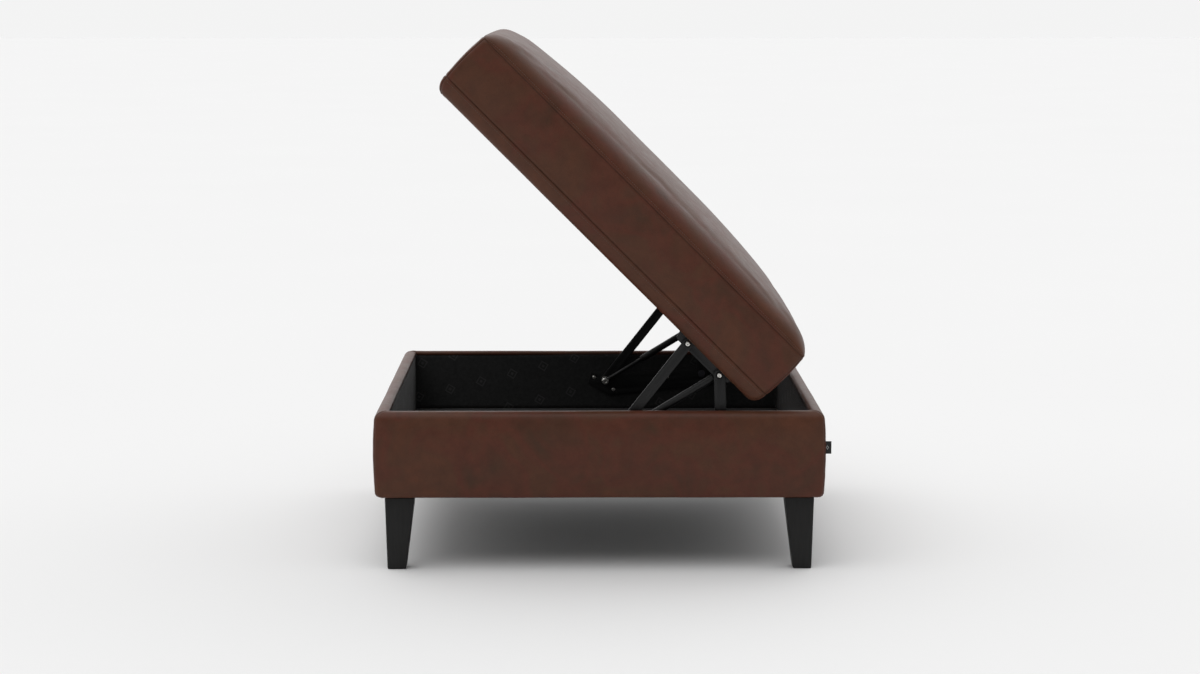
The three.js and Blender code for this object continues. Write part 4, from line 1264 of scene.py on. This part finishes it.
def ring_solid(side, x, z, depth, inner, outer, thick, corner):
    """A washer or an eye: a ring with its edges rounded."""
    profile = (0, inner), (0, outer), (thick, outer), (thick, inner)
    return lathe(in_metres(profile, corner, True), depth_at(side, depth, x, z), y_axis(side))


def screw_solids(centre, inwards):
    """A pan head with a cross recess, standing on a surface."""
    inwards = Vector(inwards).normalized()
    radius, height = SCREW_RADIUS * MM, SCREW_HEIGHT * MM
    shank = SCREW_SHANK_RADIUS * MM
    profile = [(-SCREW_SHANK * MM, 0), (-SCREW_SHANK * MM, shank), (0, shank)]
    profile += [(height * a, radius * r) for a, r in SCREW_HEAD] + [(height * RECESS_FLOOR, 0)]
    solids = [lathe(profile, centre, inwards, SCREW_SIDES)]
    across = inwards.orthogonal().normalized()
    for turn in range(4):
        arm = Matrix.Rotation(turn * math.pi / 2 + SCREW_TURN, 3, inwards) @ across
        side = inwards.cross(arm)
        base = Vector(centre) + inwards * height * RECESS_TOP + arm * radius * RECESS_START
        size = radius * RECESS_HALF
        corner = [base + arm * a + side * b + inwards * c for a in (0, radius * RECESS_REACH)
                  for b in (-size, size) for c in (-0.2 * MM, 0.08 * MM)]
        solids.append((corner, [[0, 1, 3, 2], [4, 6, 7, 5], [0, 4, 5, 1], [2, 3, 7, 6],
                                [0, 2, 6, 4], [1, 5, 7, 3]]))
    return solids


def joint_xz(name):
    x, _, z = joints[name]["pos_m"]
    return x, z


def make_hinges():
    front_ground, rear_ground = joint_xz("front_arm_swing"), joint_xz("rear_arm_swing")
    rear_pivot = joint_xz("lid_tilt")
    for name, side in SIDES.items():
        for node in ("hinge_plate", "front_arm", "rear_arm", "lid_rail"):
            refined(f"{node}_{name}", STEEL, STEEL_EDGE * MM, segments=3)
        low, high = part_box(f"front_arm_rivet_{name}")
        front_pivot = ((low.x + high.x) / 2, (low.z + high.z) / 2)
        for part, body, pivot, end in (
                ("front_arm_rivet", "front_arms", front_pivot, FRONT_RIVET_END),
                ("rear_arm_rivet", "lid", rear_pivot, REAR_RIVET_END)):
            node = f"{part}_{name}"
            solid_piece(f"{node}_detail", [rivet_solid(side, *pivot, end)], ZINC, body, [node])
            washer = ring_solid(side, *pivot, WASHER_DEPTH, WASHER_INNER, WASHER_OUTER,
                                WASHER_THICK, ROUNDING["washer"])
            solid_piece(f"{node}_washer", [washer], RUBBER, body)
        for part, profile, kind, depth, pivot, look in (
                ("front_arm_bolt", FRONT_BOLT, "bolt", BOLT_DEPTH, front_ground, ZINC),
                ("rear_arm_bolt", REAR_CAP, "cap", BOLT_DEPTH, rear_ground, CAP)):
            make_turned(f"{part}_{name}", profile, kind, side, depth, pivot, look, "base")
        make_strut(name, side, front_ground, rear_pivot)
        make_screws(name, side)


def make_turned(node, profile, kind, side, depth, pivot, look, body):
    """A turned part along a pivot's axis, in place of a CAD node."""
    profile = in_metres(profile, ROUNDING[kind])
    solid = lathe(profile, depth_at(side, depth, *pivot), y_axis(side))
    solid_piece(f"{node}_detail", [solid], look, body, [node])


def make_screws(name, side):
    plate = []
    for x, z in PLATE_SCREWS:
        plate += screw_solids(depth_at(side, PLATE_FACE, x * MM, z * MM), y_axis(side))
    solid_piece(f"hinge_plate_screws_{name}", plate, ZINC, "base")
    low, high = turned_box([f"lid_rail_{name}"], LID_INVERSE)
    ends = low[0] + RAIL_SCREW_INSET * MM, high[0] - RAIL_SCREW_INSET * MM
    rail = []
    for u in (ends[0], sum(ends) / 2, ends[1]):
        place = depth_at(side, RAIL_SCREW_DEPTH, u, high[2] - RAIL_FLANGE * MM)
        rail += screw_solids(LID_FRAME @ Vector(place), LID_TURN.to_3x3() @ Vector((0, 0, -1)))
    solid_piece(f"lid_rail_screws_{name}", rail, ZINC, "lid")


def make_strut(name, side, lower, upper):
    start, end = Vector((lower[0], 0, lower[1])), Vector((upper[0], 0, upper[1]))
    along = end - start
    length = along.length / MM
    origin = start + Vector((0, side * (INNER - STRUT_DEPTH * MM), 0))
    tube = (*STRUT_TUBE, *((length - a, r) for a, r in STRUT_TUBE_END))
    for part, profile, body, pivot, bore in (
            ("strut_rod", STRUT_ROD, "strut_rods", lower, ROD_EYE_BORE),
            ("strut_tube", tube, "strut_tubes", upper, TUBE_EYE_BORE)):
        solids = [lathe(in_metres(profile, ROUNDING["strut"]), origin, along),
                  ring_solid(side, *pivot, EYE_DEPTH, bore, EYE_RADIUS, EYE_WIDTH,
                             ROUNDING["eye"])]
        solid_piece(f"{part}_{name}_detail", solids, STEEL, body, [f"{part}_{name}"])
    make_turned(f"strut_pin_{name}", STRUT_PIN, "pin", side, PIN_DEPTH, upper, ZINC, "strut_tubes")


# ---------- the whole ----------
make_lid_cover()
make_base_cover()
make_lining()
make_dust_covers()
make_staples()
make_padding()
make_label_tab()
make_wood()
make_hinges()
